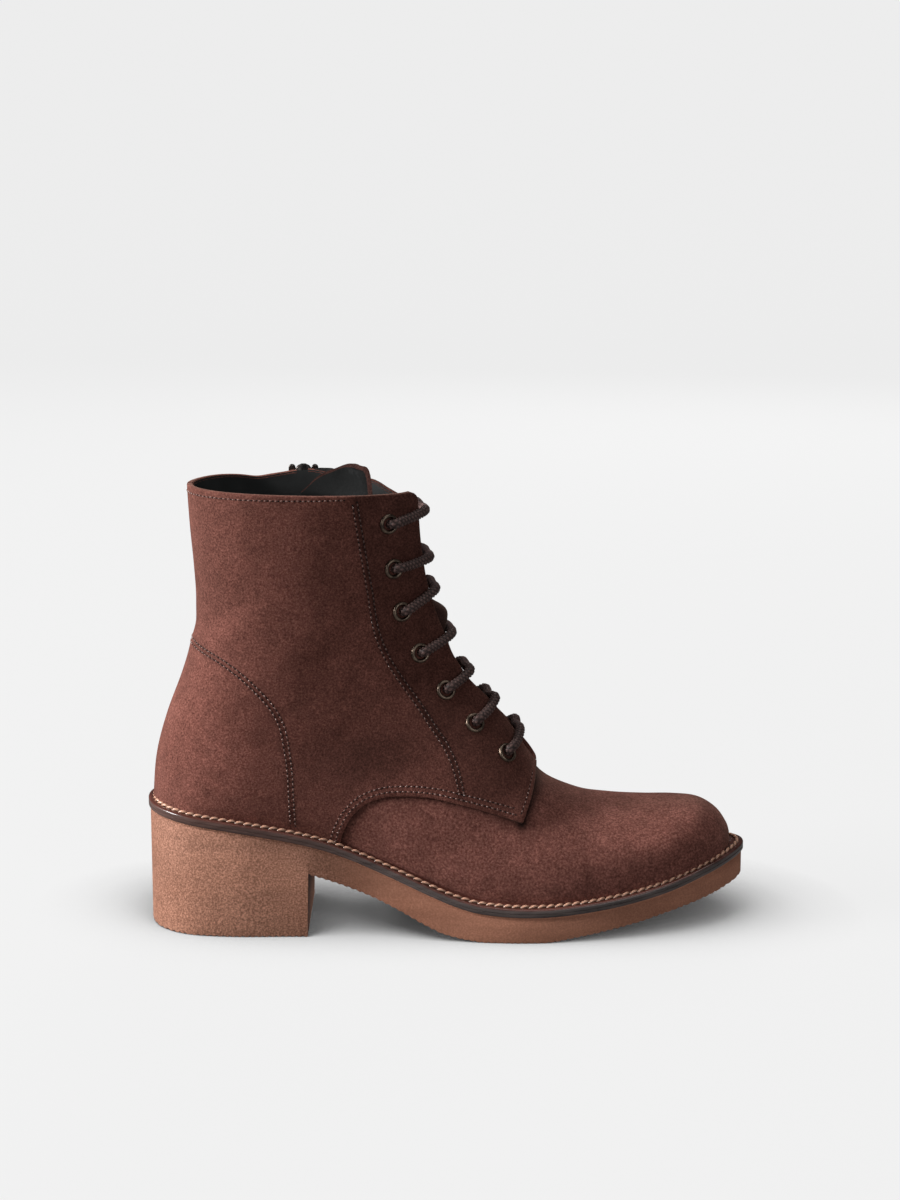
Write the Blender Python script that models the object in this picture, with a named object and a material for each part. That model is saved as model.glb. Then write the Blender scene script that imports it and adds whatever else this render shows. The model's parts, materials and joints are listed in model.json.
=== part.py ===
"""Suede ankle boot for the right foot: laced, with a block heel and a zip on the medial side.

The frame is +X to the toe, -Y to the lateral side and +Z up. The origin is on the floor under the middle.
Sizes are in millimetres and become metres where a mesh is made.
"""

import math

import bmesh
import bpy
import numpy as np

MM = 0.001
GAP = 0.3  # clearance between pieces that touch

# Sole and welt
SOLE_LENGTH = 256.8
SOLE_STATIONS = 36
WELT_REACH = 0.8  # the welt stands out past the sole by this
WELT_WIDTH = 9.6
WELT_EDGE = 3.6  # thickness at its outer edge
WELT_ROOT = 4.8  # thickness against the upper
WELT_SLOPE = 4.5  # width of its sloping top
WELT_ROUND = 0.5
SOLE_CHAMFER = 0.7
BREAST_BACK = -59.0  # front face of the heel, at the floor
BREAST_FRONT = -58.4  # the same face, at the waist
INSOLE_THICKNESS = 2.5
INSOLE_CLEAR = 0.5
INSOLE_ROW = 22.0  # form row that closes the room it is cut to
INSOLE_POINTS = 33

# Upper
WALL = 1.6  # vamp leather with its lining
QUARTER_STEP = 1.2  # the quarters lie this far over the vamp
FORM_SIDE_POINTS = 14
ROW_STEP = 0.72
COLLAR_ROW = 25.0
THROAT_ROW = 9.25  # lower end of the throat
THROAT_ROUND = 0.6  # rows over which the throat opens
RELIEF_ROW = 16.0  # the vamp's step is cut up to this row
RELIEF_DEPTH = 6.0
RELIEF_RISE = 12.0

# Tongue
TONGUE_THICKNESS = 2.4
TONGUE_CLEAR = 0.8
TONGUE_ACROSS = 9  # points over its width
TONGUE_ALONG = 20  # points from its foot to its top
TONGUE_SPREAD = 0.3  # how far its sides spread where its bend is flattened

# Eyelets and lace
EYELET_OUTER = 8.5
EYELET_INNER = 5.0
EYELET_FLANGE = 0.7
EYELET_BARREL = 0.6  # wall of the barrel
EYELET_DEPTH = 1.8
EYELET_SIDES = 10
LACE_DIAMETER = 4.1
LACE_OVER_EYELET = 2.1
LACE_OVER_FACING = 0.95
LACE_SHARES = (0.5, 0.97)  # of the way from the eyelet to the facing's edge, where the route is set
LACE_POINTS = 11

# Zip on the medial side, as a line in the side view
ZIP_TOP = (-63.0, 196.0)
ZIP_FOOT = (-51.0, 64.0)
ZIP_SLIT = 5.0
ZIP_NEAR = 8.0  # the strip starts this far across the boot
ZIP_CHAIN = 4.4
ZIP_SINK = 0.2  # the chain lies this far inside the wall's faces
SLIDER_SIZE = (8.0, 2.6, 11.0)
SLIDER_TOP = 193.0
HINGE_DROP = 4.0  # from the slider's top to the pull's axis
HINGE_REACH = 2.6  # from the slider's face to the pull's axis
PIN_DIAMETER = 1.4
PULL_SIZE = (5.6, 1.4, 22.0)
PULL_EYE = 2.6
PULL_EYE_WALL = 0.8
PULL_NECK = 3.2
EAR_WIDTH = 1.0
EAR_HEIGHT = 2.4

# Reach of the cutters beyond the boot
FAR = 150.0

# Plan outline of the welt. The angle goes from the heel's end (0) to the toe's tip (180), and the place
# along the boot is -cos(angle) of half its length.
OUTLINE_COLUMNS = ("angle", "lateral", "medial")
OUTLINE_ROWS = (
    (0, -2.5, -2.5),
    (15, -19.5, 14.5),
    (30, -31.0, 26.0),
    (45, -35.0, 28.6),
    (60, -34.8, 26.6),
    (75, -35.3, 21.8),
    (90, -40.8, 25.5),
    (105, -43.6, 37.0),
    (120, -40.0, 43.2),
    (135, -32.8, 40.4),
    (150, -22.4, 30.4),
    (165, -9.5, 16.0),
    (180, 2.0, 2.0),
)

# Side profile of the sole: its underside ahead of the heel, and the joint under the welt.
UNDERSIDE_COLUMNS = ("along", "height")
UNDERSIDE_ROWS = (
    (-58.4, 27.3),
    (-45.0, 22.9),
    (-32.5, 18.0),
    (-20.0, 12.0),
    (-11.0, 7.2),
    (-2.0, 3.2),
    (8.0, 0.9),
    (16.0, 0.0),
    (40.0, 0.0),
    (55.0, 2.0),
    (74.0, 5.3),
    (94.0, 9.9),
    (110.0, 13.6),
    (128.4, 18.0),
)
JOINT_COLUMNS = ("along", "height")
JOINT_ROWS = (
    (-130.0, 51.2),
    (-110.0, 48.8),
    (-78.0, 44.0),
    (-51.0, 37.8),
    (-24.0, 27.0),
    (-10.0, 21.0),
    (1.0, 16.5),
    (11.0, 13.4),
    (22.0, 12.0),
    (40.0, 11.5),
    (60.0, 13.0),
    (79.0, 15.9),
    (94.0, 19.2),
    (110.0, 24.0),
    (130.0, 29.6),
)

# The boot's form as sections between a base point and a ridge point of the side view. They stand upright
# at the toe, lean over the instep and lie flat at the collar. The base runs below the welt along the sole
# and then up the back of the heel. Lateral and medial are half widths from the middle, widest is the place
# between base and ridge where they are reached, and the powers square the section off towards each end.
FORM_COLUMNS = (
    "base_x", "base_z", "ridge_x", "ridge_z", "lateral", "medial", "middle", "widest",
    "base_power", "ridge_power",
)
FORM_ROWS = (
    (122.3, 17.0, 122.3, 36.0, 0.6, 0.6, 2.5, 0.62, 3.0, 2.6),
    (120.9, 14.5, 120.9, 40.2, 8.5, 8.7, 2.5, 0.62, 3.0, 2.6),
    (116.6, 13.5, 116.6, 46.0, 16.5, 17.0, 2.5, 0.61, 3.0, 2.6),
    (109.0, 12.0, 109.0, 50.2, 23.3, 25.0, 2.3, 0.57, 3.0, 2.5),
    (98.5, 9.0, 98.5, 51.2, 29.0, 31.0, 2.0, 0.53, 3.0, 2.4),
    (85.0, 6.0, 85.0, 51.1, 33.8, 35.7, 1.8, 0.50, 3.0, 2.3),
    (71.0, 3.5, 71.0, 51.9, 37.5, 38.5, 1.5, 0.48, 3.0, 2.2),
    (57.0, 1.8, 57.0, 54.7, 39.8, 39.0, 1.0, 0.46, 3.0, 2.0),
    (45.0, 1.0, 45.0, 59.6, 40.6, 38.0, 0.5, 0.43, 3.0, 1.9),
    (31.0, 0.8, 37.8, 66.0, 39.6, 36.2, 0.0, 0.41, 3.0, 1.8),
    (15.0, 2.0, 33.4, 75.2, 38.5, 32.8, -0.3, 0.38, 3.0, 1.7),
    (-4.0, 8.0, 28.4, 84.9, 36.8, 27.4, -0.6, 0.38, 3.0, 1.7),
    (-29.0, 18.5, 23.0, 93.4, 34.3, 23.8, -1.0, 0.40, 3.0, 1.7),
    (-61.0, 30.0, 17.1, 101.4, 31.8, 23.5, -1.5, 0.42, 3.0, 1.7),
    (-93.0, 36.0, 11.3, 108.8, 30.8, 24.8, -2.0, 0.43, 3.0, 1.7),
    (-119.5, 40.0, 7.4, 116.4, 30.5, 26.1, -2.3, 0.43, 3.0, 1.7),
    (-124.9, 49.0, 5.2, 121.0, 30.3, 26.6, -2.5, 0.43, 3.0, 1.7),
    (-125.0, 61.0, 3.2, 126.6, 30.2, 27.0, -2.6, 0.43, 3.0, 1.7),
    (-123.2, 75.0, 0.0, 134.2, 30.1, 27.4, -2.7, 0.44, 3.0, 1.7),
    (-118.6, 91.0, -3.2, 143.0, 29.8, 27.8, -2.8, 0.45, 3.0, 1.7),
    (-111.9, 108.5, -5.8, 152.5, 29.3, 28.3, -3.0, 0.46, 3.0, 1.7),
    (-106.9, 125.0, -7.4, 161.0, 29.1, 28.7, -3.2, 0.47, 2.9, 1.7),
    (-105.3, 140.0, -8.5, 168.5, 29.1, 29.3, -3.4, 0.48, 2.8, 1.7),
    (-106.0, 156.0, -9.2, 175.5, 29.4, 29.8, -3.5, 0.49, 2.8, 1.7),
    (-107.3, 172.0, -9.7, 181.5, 29.8, 30.1, -3.5, 0.50, 2.7, 1.7),
    (-108.2, 190.0, -10.0, 187.5, 30.3, 30.6, -3.5, 0.50, 2.7, 1.7),
    (-108.4, 208.0, -10.2, 204.0, 30.3, 30.6, -3.5, 0.50, 2.7, 1.7),
)

# Half width of the throat on each side, by form row.
THROAT_COLUMNS = ("row", "lateral", "medial")
THROAT_ROWS = (
    (9.0, 7.0, 7.0),
    (12.0, 8.0, 8.5),
    (17.0, 9.0, 10.5),
    (21.0, 9.5, 13.0),
    (24.0, 9.5, 16.5),
    (25.0, 9.5, 24.0),
    (26.0, 9.5, 28.5),
)

# Lower and front edge of the quarter in the side view, from the welt up and forward to the facing's foot.
QUARTER_COLUMNS = ("along", "height")
QUARTER_ROWS = (
    (-45.5, 34.0),
    (-44.5, 42.6),
    (-42.8, 47.5),
    (-39.5, 53.2),
    (-34.0, 58.2),
    (-27.0, 60.9),
    (-18.0, 61.5),
    (-7.0, 60.7),
    (5.4, 57.9),
    (18.0, 54.3),
    (31.4, 49.4),
    (34.6, 59.0),
    (37.0, 70.0),
)

# Eyelets from the top pair down: height of the centre, its distance from the facing's edge, how far the lace
# rises from there to the middle of the throat, and how far it sinks into the throat.
EYELET_COLUMNS = ("height", "inset", "rise", "sink")
EYELET_ROWS = (
    (175.5, 16.5, 3.5, -1.5),
    (156.5, 16.0, 2.5, -1.5),
    (138.0, 16.0, 7.0, -1.5),
    (120.0, 14.5, 5.5, -2.2),
    (103.5, 12.5, 5.5, -1.0),
    (89.5, 14.5, 7.0, 0.5),
    (76.5, 14.5, 6.5, 0.5),
)

# The tongue by form row: half width along the surface, how far the lace presses its middle in, how far its
# top leans back and drifts to the medial side, its turn about the vertical, and how far its bend is flattened.
TONGUE_COLUMNS = ("row", "half_width", "sink", "lean", "drift", "turn", "flat")
TONGUE_ROWS = (
    (8.6, 13.0, 0.5, 0.0, 0.0, 0.0, 0.0),
    (10.0, 16.0, 2.5, 0.0, 0.0, 0.0, 0.0),
    (13.0, 18.0, 2.5, 0.0, 0.0, 0.0, 0.0),
    (16.0, 19.0, 1.5, 1.0, 0.0, 0.0, 0.0),
    (19.0, 20.0, 0.5, 4.5, 1.0, 4.0, 0.1),
    (21.0, 21.0, 0.0, 12.0, 3.0, 18.0, 0.3),
    (23.0, 21.5, 0.0, 25.0, 6.0, 42.0, 0.6),
    (24.5, 21.5, 0.0, 33.0, 8.0, 54.0, 0.75),
    (26.0, 22.0, 0.0, 32.0, 9.0, 58.0, 0.8),
)

# The tongue's top edge, from its lateral side (-1) to its medial side (1), as form rows.
TONGUE_TOP_COLUMNS = ("across", "row")
TONGUE_TOP_ROWS = (
    (-1.0, 24.7),
    (-0.85, 25.4),
    (-0.45, 25.58),
    (0.1, 25.4),
    (0.6, 25.0),
    (1.0, 24.4),
)

# Colour, roughness and metallic value of each material
MATERIALS = {
    "suede": ((0.085, 0.034, 0.024), 0.95, 0.0),
    "rubber": ((0.30, 0.15, 0.062), 0.75, 0.0),
    "welt_leather": ((0.06, 0.030, 0.020), 0.40, 0.0),
    "lining": ((0.012, 0.012, 0.013), 0.55, 0.0),
    "antique_brass": ((0.16, 0.11, 0.07), 0.35, 1.0),
    "lace_cord": ((0.075, 0.045, 0.040), 0.60, 0.0),
    "zip_metal": ((0.05, 0.045, 0.045), 0.35, 1.0),
}


def columns_of(names, rows):
    """The table's columns by name."""
    return dict(zip(names, np.array(rows, float).T))


def hermite(knots, values, slopes, at):
    at = np.clip(np.asarray(at, float), knots[0], knots[-1])
    i = np.clip(np.searchsorted(knots, at) - 1, 0, len(knots) - 2)
    width = knots[i + 1] - knots[i]
    t = (at - knots[i]) / width
    ends = values[i] * (1 + 2 * t) * (1 - t) ** 2 + values[i + 1] * t * t * (3 - 2 * t)
    return ends + width * t * (1 - t) * (slopes[i] * (1 - t) - slopes[i + 1] * t)


def flowing(knots, values, at):
    """A cubic curve through the values, with each slope taken from the two neighbours."""
    return hermite(knots, values, np.gradient(values, knots), at)


def steady(knots, values, at):
    """A cubic curve through the values that never swings past them."""
    steps = np.diff(values) / np.diff(knots)
    before, after = steps[:-1], steps[1:]
    same_way = before * after > 0
    inner = np.where(same_way, 2 * before * after / np.where(same_way, before + after, 1), 0)
    return hermite(knots, values, np.concatenate([steps[:1], inner, steps[-1:]]), at)


OUTLINE = columns_of(OUTLINE_COLUMNS, OUTLINE_ROWS)
UNDERSIDE = columns_of(UNDERSIDE_COLUMNS, UNDERSIDE_ROWS)
JOINT = columns_of(JOINT_COLUMNS, JOINT_ROWS)
FORM = columns_of(FORM_COLUMNS, FORM_ROWS)
THROAT = columns_of(THROAT_COLUMNS, THROAT_ROWS)
QUARTER = columns_of(QUARTER_COLUMNS, QUARTER_ROWS)
EYELETS = columns_of(EYELET_COLUMNS, EYELET_ROWS)
PAIRS = len(EYELET_ROWS)
TONGUE = columns_of(TONGUE_COLUMNS, TONGUE_ROWS)
TONGUE_TOP = columns_of(TONGUE_TOP_COLUMNS, TONGUE_TOP_ROWS)


# Blender helpers


def material(name):
    found = bpy.data.materials.get(name)
    if found:
        return found
    colour, roughness, metallic = MATERIALS[name]
    made = bpy.data.materials.new(name)
    made.use_nodes = True
    made.diffuse_color = (*colour, 1.0)
    shader = made.node_tree.nodes["Principled BSDF"]
    shader.inputs["Base Color"].default_value = (*colour, 1.0)
    shader.inputs["Roughness"].default_value = roughness
    shader.inputs["Metallic"].default_value = metallic
    return made


def mesh_object(name, points, faces, finish=None):
    """An object from points in millimetres. Points that coincide become one, and faces turn outwards."""
    mesh = bpy.data.meshes.new(name)
    mesh.from_pydata([tuple(p) for p in np.asarray(points, float) * MM], [], faces)
    build = bmesh.new()
    build.from_mesh(mesh)
    bmesh.ops.remove_doubles(build, verts=build.verts, dist=1e-6)
    bmesh.ops.dissolve_degenerate(build, edges=build.edges, dist=1e-6)
    bmesh.ops.recalc_face_normals(build, faces=build.faces)
    if build.calc_volume(signed=True) < 0:
        bmesh.ops.reverse_faces(build, faces=build.faces)
    build.to_mesh(mesh)
    build.free()
    made = bpy.data.objects.new(name, mesh)
    bpy.context.scene.collection.objects.link(made)
    if finish:
        mesh.materials.append(material(finish))
        mesh.shade_smooth()
        mesh.set_sharp_from_angle(angle=math.radians(35))
    return made


def helper(made):
    """Marks a cutter or a guide."""
    made.hide_render = True
    made.display_type = "WIRE"
    return made


def boolean(target, other, operation="DIFFERENCE"):
    modifier = target.modifiers.new(f"{operation.lower()} {other.name}", "BOOLEAN")
    modifier.operation = operation
    modifier.solver = "EXACT"
    modifier.object = other


def prism(name, outline, near, far):
    """A solid from a side view outline of (x, z) points, between two places across the boot."""
    count = len(outline)
    points = [(x, y, z) for y in (near, far) for x, z in outline]
    faces = [tuple(range(count)), tuple(range(2 * count - 1, count - 1, -1))]
    for i in range(count):
        j = (i + 1) % count
        faces.append((i, j, count + j, count + i))
    return helper(mesh_object(name, points, faces))


def box(name, centre, size, finish=None):
    corners = np.array([(x, y, z) for x in (-0.5, 0.5) for y in (-0.5, 0.5) for z in (-0.5, 0.5)])
    faces = [(0, 1, 3, 2), (4, 6, 7, 5), (0, 4, 5, 1), (2, 3, 7, 6), (0, 2, 6, 4), (1, 5, 7, 3)]
    return mesh_object(name, np.array(centre) + corners * np.array(size), faces, finish)


# The sole's own functions


def underside_height(along):
    return steady(UNDERSIDE["along"], UNDERSIDE["height"], along)


def ground_height(along):
    """The sole's lower face: the floor under the heel, and the underside ahead of its breast."""
    breast = (BREAST_BACK + BREAST_FRONT) / 2
    return np.where(np.asarray(along) < breast, 0.0, underside_height(along))


def joint_height(along):
    return flowing(JOINT["along"], JOINT["height"], along)


def feather_height(along):
    """Lower edge of the upper, just clear of the welt."""
    return joint_height(along) + WELT_ROOT + GAP


def outline_loop(angles, inset=0.0):
    """Plan points of the welt's outline, moved in. Angles over 180 come back along the medial side."""
    angles = np.asarray(angles, float)
    lateral = angles <= 180
    half = np.where(lateral, angles, 360 - angles)
    along = -SOLE_LENGTH / 2 * np.cos(np.radians(half))
    across = np.where(
        lateral,
        flowing(OUTLINE["angle"], OUTLINE["lateral"], half),
        flowing(OUTLINE["angle"], OUTLINE["medial"], half),
    )
    loop = np.stack([along, across], axis=1)
    ahead = np.roll(loop, -1, axis=0) - np.roll(loop, 1, axis=0)
    inward = np.stack([-ahead[:, 1], ahead[:, 0]], axis=1)
    inward /= np.linalg.norm(inward, axis=1, keepdims=True)
    return loop + inset * inward


def station_angles():
    """Angles of the outline's points: even ones, with a pair at the heel's breast."""
    half_length = SOLE_LENGTH / 2
    breast = [math.degrees(math.acos(-x / half_length)) for x in (BREAST_BACK, BREAST_FRONT)]
    even = np.linspace(0, 180, SOLE_STATIONS + 1)
    clear = [a for a in even if min(abs(a - b) for b in breast) > 1.5]
    return np.sort(np.array(clear + breast))


def paired_faces(loop_start, count, upwards):
    """Faces that fill a loop whose point i lies across from point count - i."""
    faces = []
    for i in range(count // 2):
        near = (loop_start + i, loop_start + i + 1)
        far = (loop_start + (count - i - 1) % count, loop_start + (count - i) % count)
        face = near + far
        face = tuple(dict.fromkeys(face))
        faces.append(face if upwards else face[::-1])
    return faces


def stacked_loops(loops):
    """Points of the loops and the walls from each to the next."""
    count = len(loops[0])
    faces = []
    for level in range(len(loops) - 1):
        low, high = level * count, (level + 1) * count
        for i in range(count):
            j = (i + 1) % count
            faces.append((low + i, low + j, high + j, high + i))
    return np.concatenate(loops), faces


def make_outsole():
    half = station_angles()
    angles = np.concatenate([half, 360 - half[-2:0:-1]])
    station = outline_loop(angles)[:, 0]
    seat = WELT_WIDTH + GAP
    floor = ground_height(station)
    shoulder = joint_height(station)
    raised = joint_height(outline_loop(angles, WELT_REACH + seat)[:, 0])
    levels = [
        (SOLE_CHAMFER, floor),
        (0.0, floor + SOLE_CHAMFER),
        (0.0, shoulder),
        (seat, raised),
        (seat, raised + WELT_ROOT),
    ]
    loops = [np.column_stack([outline_loop(angles, WELT_REACH + inset), height]) for inset, height in levels]
    points, faces = stacked_loops(loops)
    count = len(angles)
    faces += paired_faces(0, count, upwards=False)
    faces += paired_faces(count * (len(loops) - 1), count, upwards=True)
    return mesh_object("outsole", points, faces, "rubber")


def make_welt():
    angles = np.linspace(0, 360, 2 * SOLE_STATIONS, endpoint=False)
    root = WELT_ROOT - GAP
    edge = WELT_EDGE - GAP
    profile = [
        (WELT_WIDTH, 0.0),
        (0.0, 0.0),
        (0.0, edge - WELT_ROUND),
        (WELT_ROUND, edge),
        (WELT_SLOPE, root),
        (WELT_WIDTH, root),
    ]
    loops = []
    for inset, rise in profile:
        flat = outline_loop(angles, inset)
        loops.append(np.column_stack([flat, joint_height(flat[:, 0]) + GAP + rise]))
    points, faces = stacked_loops(loops + loops[:1])
    return mesh_object("welt", points, faces, "welt_leather")


# The boot's form


def form_at(rows):
    """Every column of the form table at these rows."""
    knots = np.arange(len(FORM_ROWS), dtype=float)
    return {name: flowing(knots, values, rows) for name, values in FORM.items()}


def throat_half(rows, side):
    """Half width of the throat: nothing below its lower end, and round there."""
    opening = np.clip((np.asarray(rows) - THROAT_ROW) / THROAT_ROUND, 0, 1)
    return flowing(THROAT["row"], THROAT[side], rows) * np.sqrt(opening * (2 - opening))


def half_sections(rows, side, samples=241):
    """Dense half sections from base to ridge, as points and the length along each, by row."""
    row = {name: values[:, None] for name, values in form_at(rows).items()}
    turn = np.linspace(0, math.pi, samples)[None, :]
    lean = np.abs(np.cos(turn))
    lower = row["widest"] * (1 - lean ** (2 / row["base_power"]))
    upper = row["widest"] + (1 - row["widest"]) * lean ** (2 / row["ridge_power"])
    place = np.where(turn < math.pi / 2, lower, upper)
    sign = -1 if side == "lateral" else 1
    points = np.stack(
        [
            row["base_x"] + place * (row["ridge_x"] - row["base_x"]),
            row["middle"] + sign * row[side] * np.sin(turn),
            row["base_z"] + place * (row["ridge_z"] - row["base_z"]),
        ],
        axis=2,
    )
    steps = np.linalg.norm(np.diff(points, axis=1), axis=2)
    length = np.concatenate([np.zeros((len(points), 1)), np.cumsum(steps, axis=1)], axis=1)
    return points, length


def at_lengths(points, length, wanted):
    """Points at the wanted lengths along each dense section."""
    found = np.empty((len(points), wanted.shape[1], 3))
    for i in range(len(points)):
        for axis in range(3):
            found[i, :, axis] = np.interp(wanted[i], length[i], points[i, :, axis])
    return found


def edge_length(points, length, rows, side, throat):
    """Length from the base to the facing's edge, or to the ridge where the section is whole."""
    if not throat:
        return length[:, -1]
    half = throat_half(rows, side)
    middle = form_at(rows)["middle"]
    ends = []
    for i in range(len(points)):
        across = np.abs(points[i, :, 1] - middle[i])
        top = len(across) // 2
        ends.append(np.interp(half[i], across[top:][::-1], length[i, top:][::-1]))
    return np.array(ends)


def form_grid(rows, side, throat=False, count=FORM_SIDE_POINTS):
    """Points from base to ridge on one side of the form, evenly spaced, by row."""
    rows = np.asarray(rows, float)
    points, length = half_sections(rows, side)
    end = edge_length(points, length, rows, side, throat)
    wanted = np.linspace(0, 1, count)[None, :] * end[:, None]
    return at_lengths(points, length, wanted)


def grid_normals(grid, side):
    """Outward unit normals of one side's grid."""
    along = np.gradient(grid, axis=0)
    up = np.gradient(grid, axis=1)
    normals = np.cross(up, along) if side == "lateral" else np.cross(along, up)
    size = np.linalg.norm(normals, axis=2, keepdims=True)
    return normals / np.where(size > 1e-9, size, 1)


def form_sides(rows, offset, throat=False):
    """Lateral and medial grids moved out by the offset. Where the sides meet they share one normal."""
    grids = [form_grid(rows, side, throat) for side in ("lateral", "medial")]
    normals = [grid_normals(grid, side) for grid, side in zip(grids, ("lateral", "medial"))]
    for column in (0, -1):
        meet = np.linalg.norm(grids[0][:, column] - grids[1][:, column], axis=1) < 1e-6
        shared = normals[0][:, column] + normals[1][:, column]
        shared[:, 1] = 0
        shared /= np.linalg.norm(shared, axis=1, keepdims=True)
        for normal in normals:
            normal[meet, column] = shared[meet]
    for normal in normals:
        normal[0] = (1, 0, 0)
    return [grid + offset * normal for grid, normal in zip(grids, normals)]


def skin_faces(start, rows, columns, outwards):
    """Faces of the lateral and medial grids and of the toe's tip, for points stored from start."""
    side = rows * columns
    faces = []
    for r in range(rows - 1):
        for c in range(columns - 1):
            a = start + r * columns + c
            faces.append((a, a + 1, a + columns + 1, a + columns))
            b = a + side
            faces.append((b, b + columns, b + columns + 1, b + 1))
    for c in range(columns - 1):
        a = start + c
        faces.append((a, a + side, a + side + 1, a + 1))
    return faces if outwards else [face[::-1] for face in faces]


def form_shell(name, rows, inner, outer, throat=False, finish=None):
    """A hollow wall between two offsets of the form, closed at the toe and open at its last row."""
    skins = [np.concatenate(form_sides(rows, offset, throat)).reshape(-1, 3) for offset in (outer, inner)]
    count, columns = len(rows), FORM_SIDE_POINTS
    side = count * columns
    faces = skin_faces(0, count, columns, True) + skin_faces(2 * side, count, columns, False)
    last = (count - 1) * columns
    for start in (last, last + side):
        for c in range(columns - 1):
            a = start + c
            faces.append((a, a + 1, a + 1 + 2 * side, a + 2 * side))
    if throat:
        open_rows = [r for r in range(count - 1) if rows[r + 1] > THROAT_ROW]
        for r in open_rows:
            for start in (0, side):
                a = start + r * columns + columns - 1
                faces.append((a, a + columns, a + columns + 2 * side, a + 2 * side))
    return mesh_object(name, np.concatenate(skins), faces, finish)


def form_solid(name, rows, offset):
    """The form filled, up to its last row."""
    points = np.concatenate(form_sides(rows, offset)).reshape(-1, 3)
    count, columns = len(rows), FORM_SIDE_POINTS
    side = count * columns
    faces = skin_faces(0, count, columns, True)
    last = (count - 1) * columns
    for c in range(columns - 1):
        a = last + c
        faces.append((a, a + 1, a + side + 1, a + side))
    return helper(mesh_object(name, points, faces))


def row_list(last):
    """Form rows from the toe's tip on: close together at the tip and at the throat's foot."""
    tip = np.linspace(0, 2, 6)
    foot = THROAT_ROW + THROAT_ROUND * np.array([-1, 0, 0.15, 0.5, 1])
    vamp = np.linspace(2, foot[0], 11)[1:-1]
    rear = np.linspace(foot[-1], last, round((last - foot[-1]) / ROW_STEP) + 1)[1:]
    return np.concatenate([tip, vamp, foot, rear])


# Pieces cut from the form


def below_feather():
    along = np.linspace(-FAR, FAR, 61)
    outline = [(-FAR, -FAR)] + [(x, float(feather_height(x))) for x in along] + [(FAR, -FAR)]
    return prism("below_feather", outline, -FAR, FAR)


def vamp_relief():
    """What the vamp leaves free under the quarters' level: a skin of the form ahead of their edge."""
    relief = helper(form_shell("vamp_relief", row_list(RELIEF_ROW), 0.0, RELIEF_DEPTH))
    edge = list(zip(QUARTER["along"], QUARTER["height"]))
    top = (QUARTER["along"][-1] + RELIEF_RISE, QUARTER["height"][-1] + RELIEF_RISE)
    outline = edge + [top, (FAR, top[1]), (FAR, -FAR), (QUARTER["along"][0], -FAR)]
    boolean(relief, prism("vamp_region", outline, -FAR, FAR), "INTERSECT")
    return relief


def zip_strip(name, width, foot_cut):
    """The zip's strip in the side view, as a prism through the medial side."""
    top, foot = np.array(ZIP_TOP), np.array(ZIP_FOOT)
    down = (foot - top) / np.linalg.norm(foot - top)
    foot = foot - foot_cut * down
    side = np.array([-down[1], down[0]]) * width / 2
    outline = [top + side, foot + side, foot - side, top - side]
    return prism(name, [tuple(p) for p in outline], ZIP_NEAR, FAR)


def make_upper(eyelets):
    upper = form_shell("upper", row_list(COLLAR_ROW), -WALL, QUARTER_STEP, True, "suede")
    boolean(upper, vamp_relief())
    boolean(upper, below_feather())
    boolean(upper, zip_strip("zip_slit", ZIP_SLIT, 0.0))
    for name, place in eyelets.items():
        boolean(upper, eyelet_hole(f"hole_{name}", place))
    return upper


def make_insole():
    """The board inside the upper, cut to its inner face."""
    along = np.linspace(FORM["base_x"].min(), FORM["base_x"].max(), INSOLE_POINTS)
    low = [(x, float(feather_height(x)) + GAP) for x in along]
    high = [(x, z + INSOLE_THICKNESS) for x, z in reversed(low)]
    insole = prism("insole", low + high, -FAR, FAR)
    insole.hide_render = False
    insole.display_type = "TEXTURED"
    insole.data.materials.append(material("lining"))
    room = form_solid("insole_room", row_list(INSOLE_ROW), -WALL - INSOLE_CLEAR)
    boolean(insole, room, "INTERSECT")
    return insole


def ridge_points(rows, distances, offsets):
    """Points at distances from the ridge along each section, lateral negative, moved by the offsets."""
    found = np.empty((len(rows), distances.shape[1], 3))
    for side in ("lateral", "medial"):
        points, length = half_sections(rows, side)
        wanted = length[:, -1:] - np.abs(distances)
        here = at_lengths(points, length, wanted)
        pick = distances < 0 if side == "lateral" else distances >= 0
        found[pick] = here[pick]
    along = np.gradient(found, axis=0)
    across = np.gradient(found, axis=1)
    normals = np.cross(across, along)
    normals /= np.linalg.norm(normals, axis=2, keepdims=True)
    return found + offsets[:, :, None] * normals


def tongue_skin(rows, offset):
    """The tongue's face at this offset, on even rows, before its top is cut."""
    at = {name: steady(TONGUE["row"], values, rows)[:, None] for name, values in TONGUE.items()}
    across = np.linspace(-1, 1, TONGUE_ACROSS)[None, :]
    pressed = offset - at["sink"] * (1 - across**2)
    skin = ridge_points(rows, at["half_width"] * across, pressed)
    centre = skin[:, TONGUE_ACROSS // 2][:, None, :]
    away = skin - centre
    back = away[..., 0] * (1 - at["flat"])
    side = away[..., 1] * (1 + TONGUE_SPREAD * at["flat"])
    turn = np.radians(at["turn"])
    return centre + np.stack(
        [
            back * np.cos(turn) - side * np.sin(turn) - at["lean"],
            back * np.sin(turn) + side * np.cos(turn) + at["drift"],
            away[..., 2],
        ],
        axis=2,
    )


def topped(skin, rows):
    """The tongue's face with each column of points ending at the top edge."""
    top = flowing(TONGUE_TOP["across"], TONGUE_TOP["row"], np.linspace(-1, 1, TONGUE_ACROSS))
    found = np.empty((TONGUE_ALONG, TONGUE_ACROSS, 3))
    for c in range(TONGUE_ACROSS):
        wanted = np.linspace(rows[0], top[c], TONGUE_ALONG)
        for axis in range(3):
            found[:, c, axis] = np.interp(wanted, rows, skin[:, c, axis])
    return found


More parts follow.
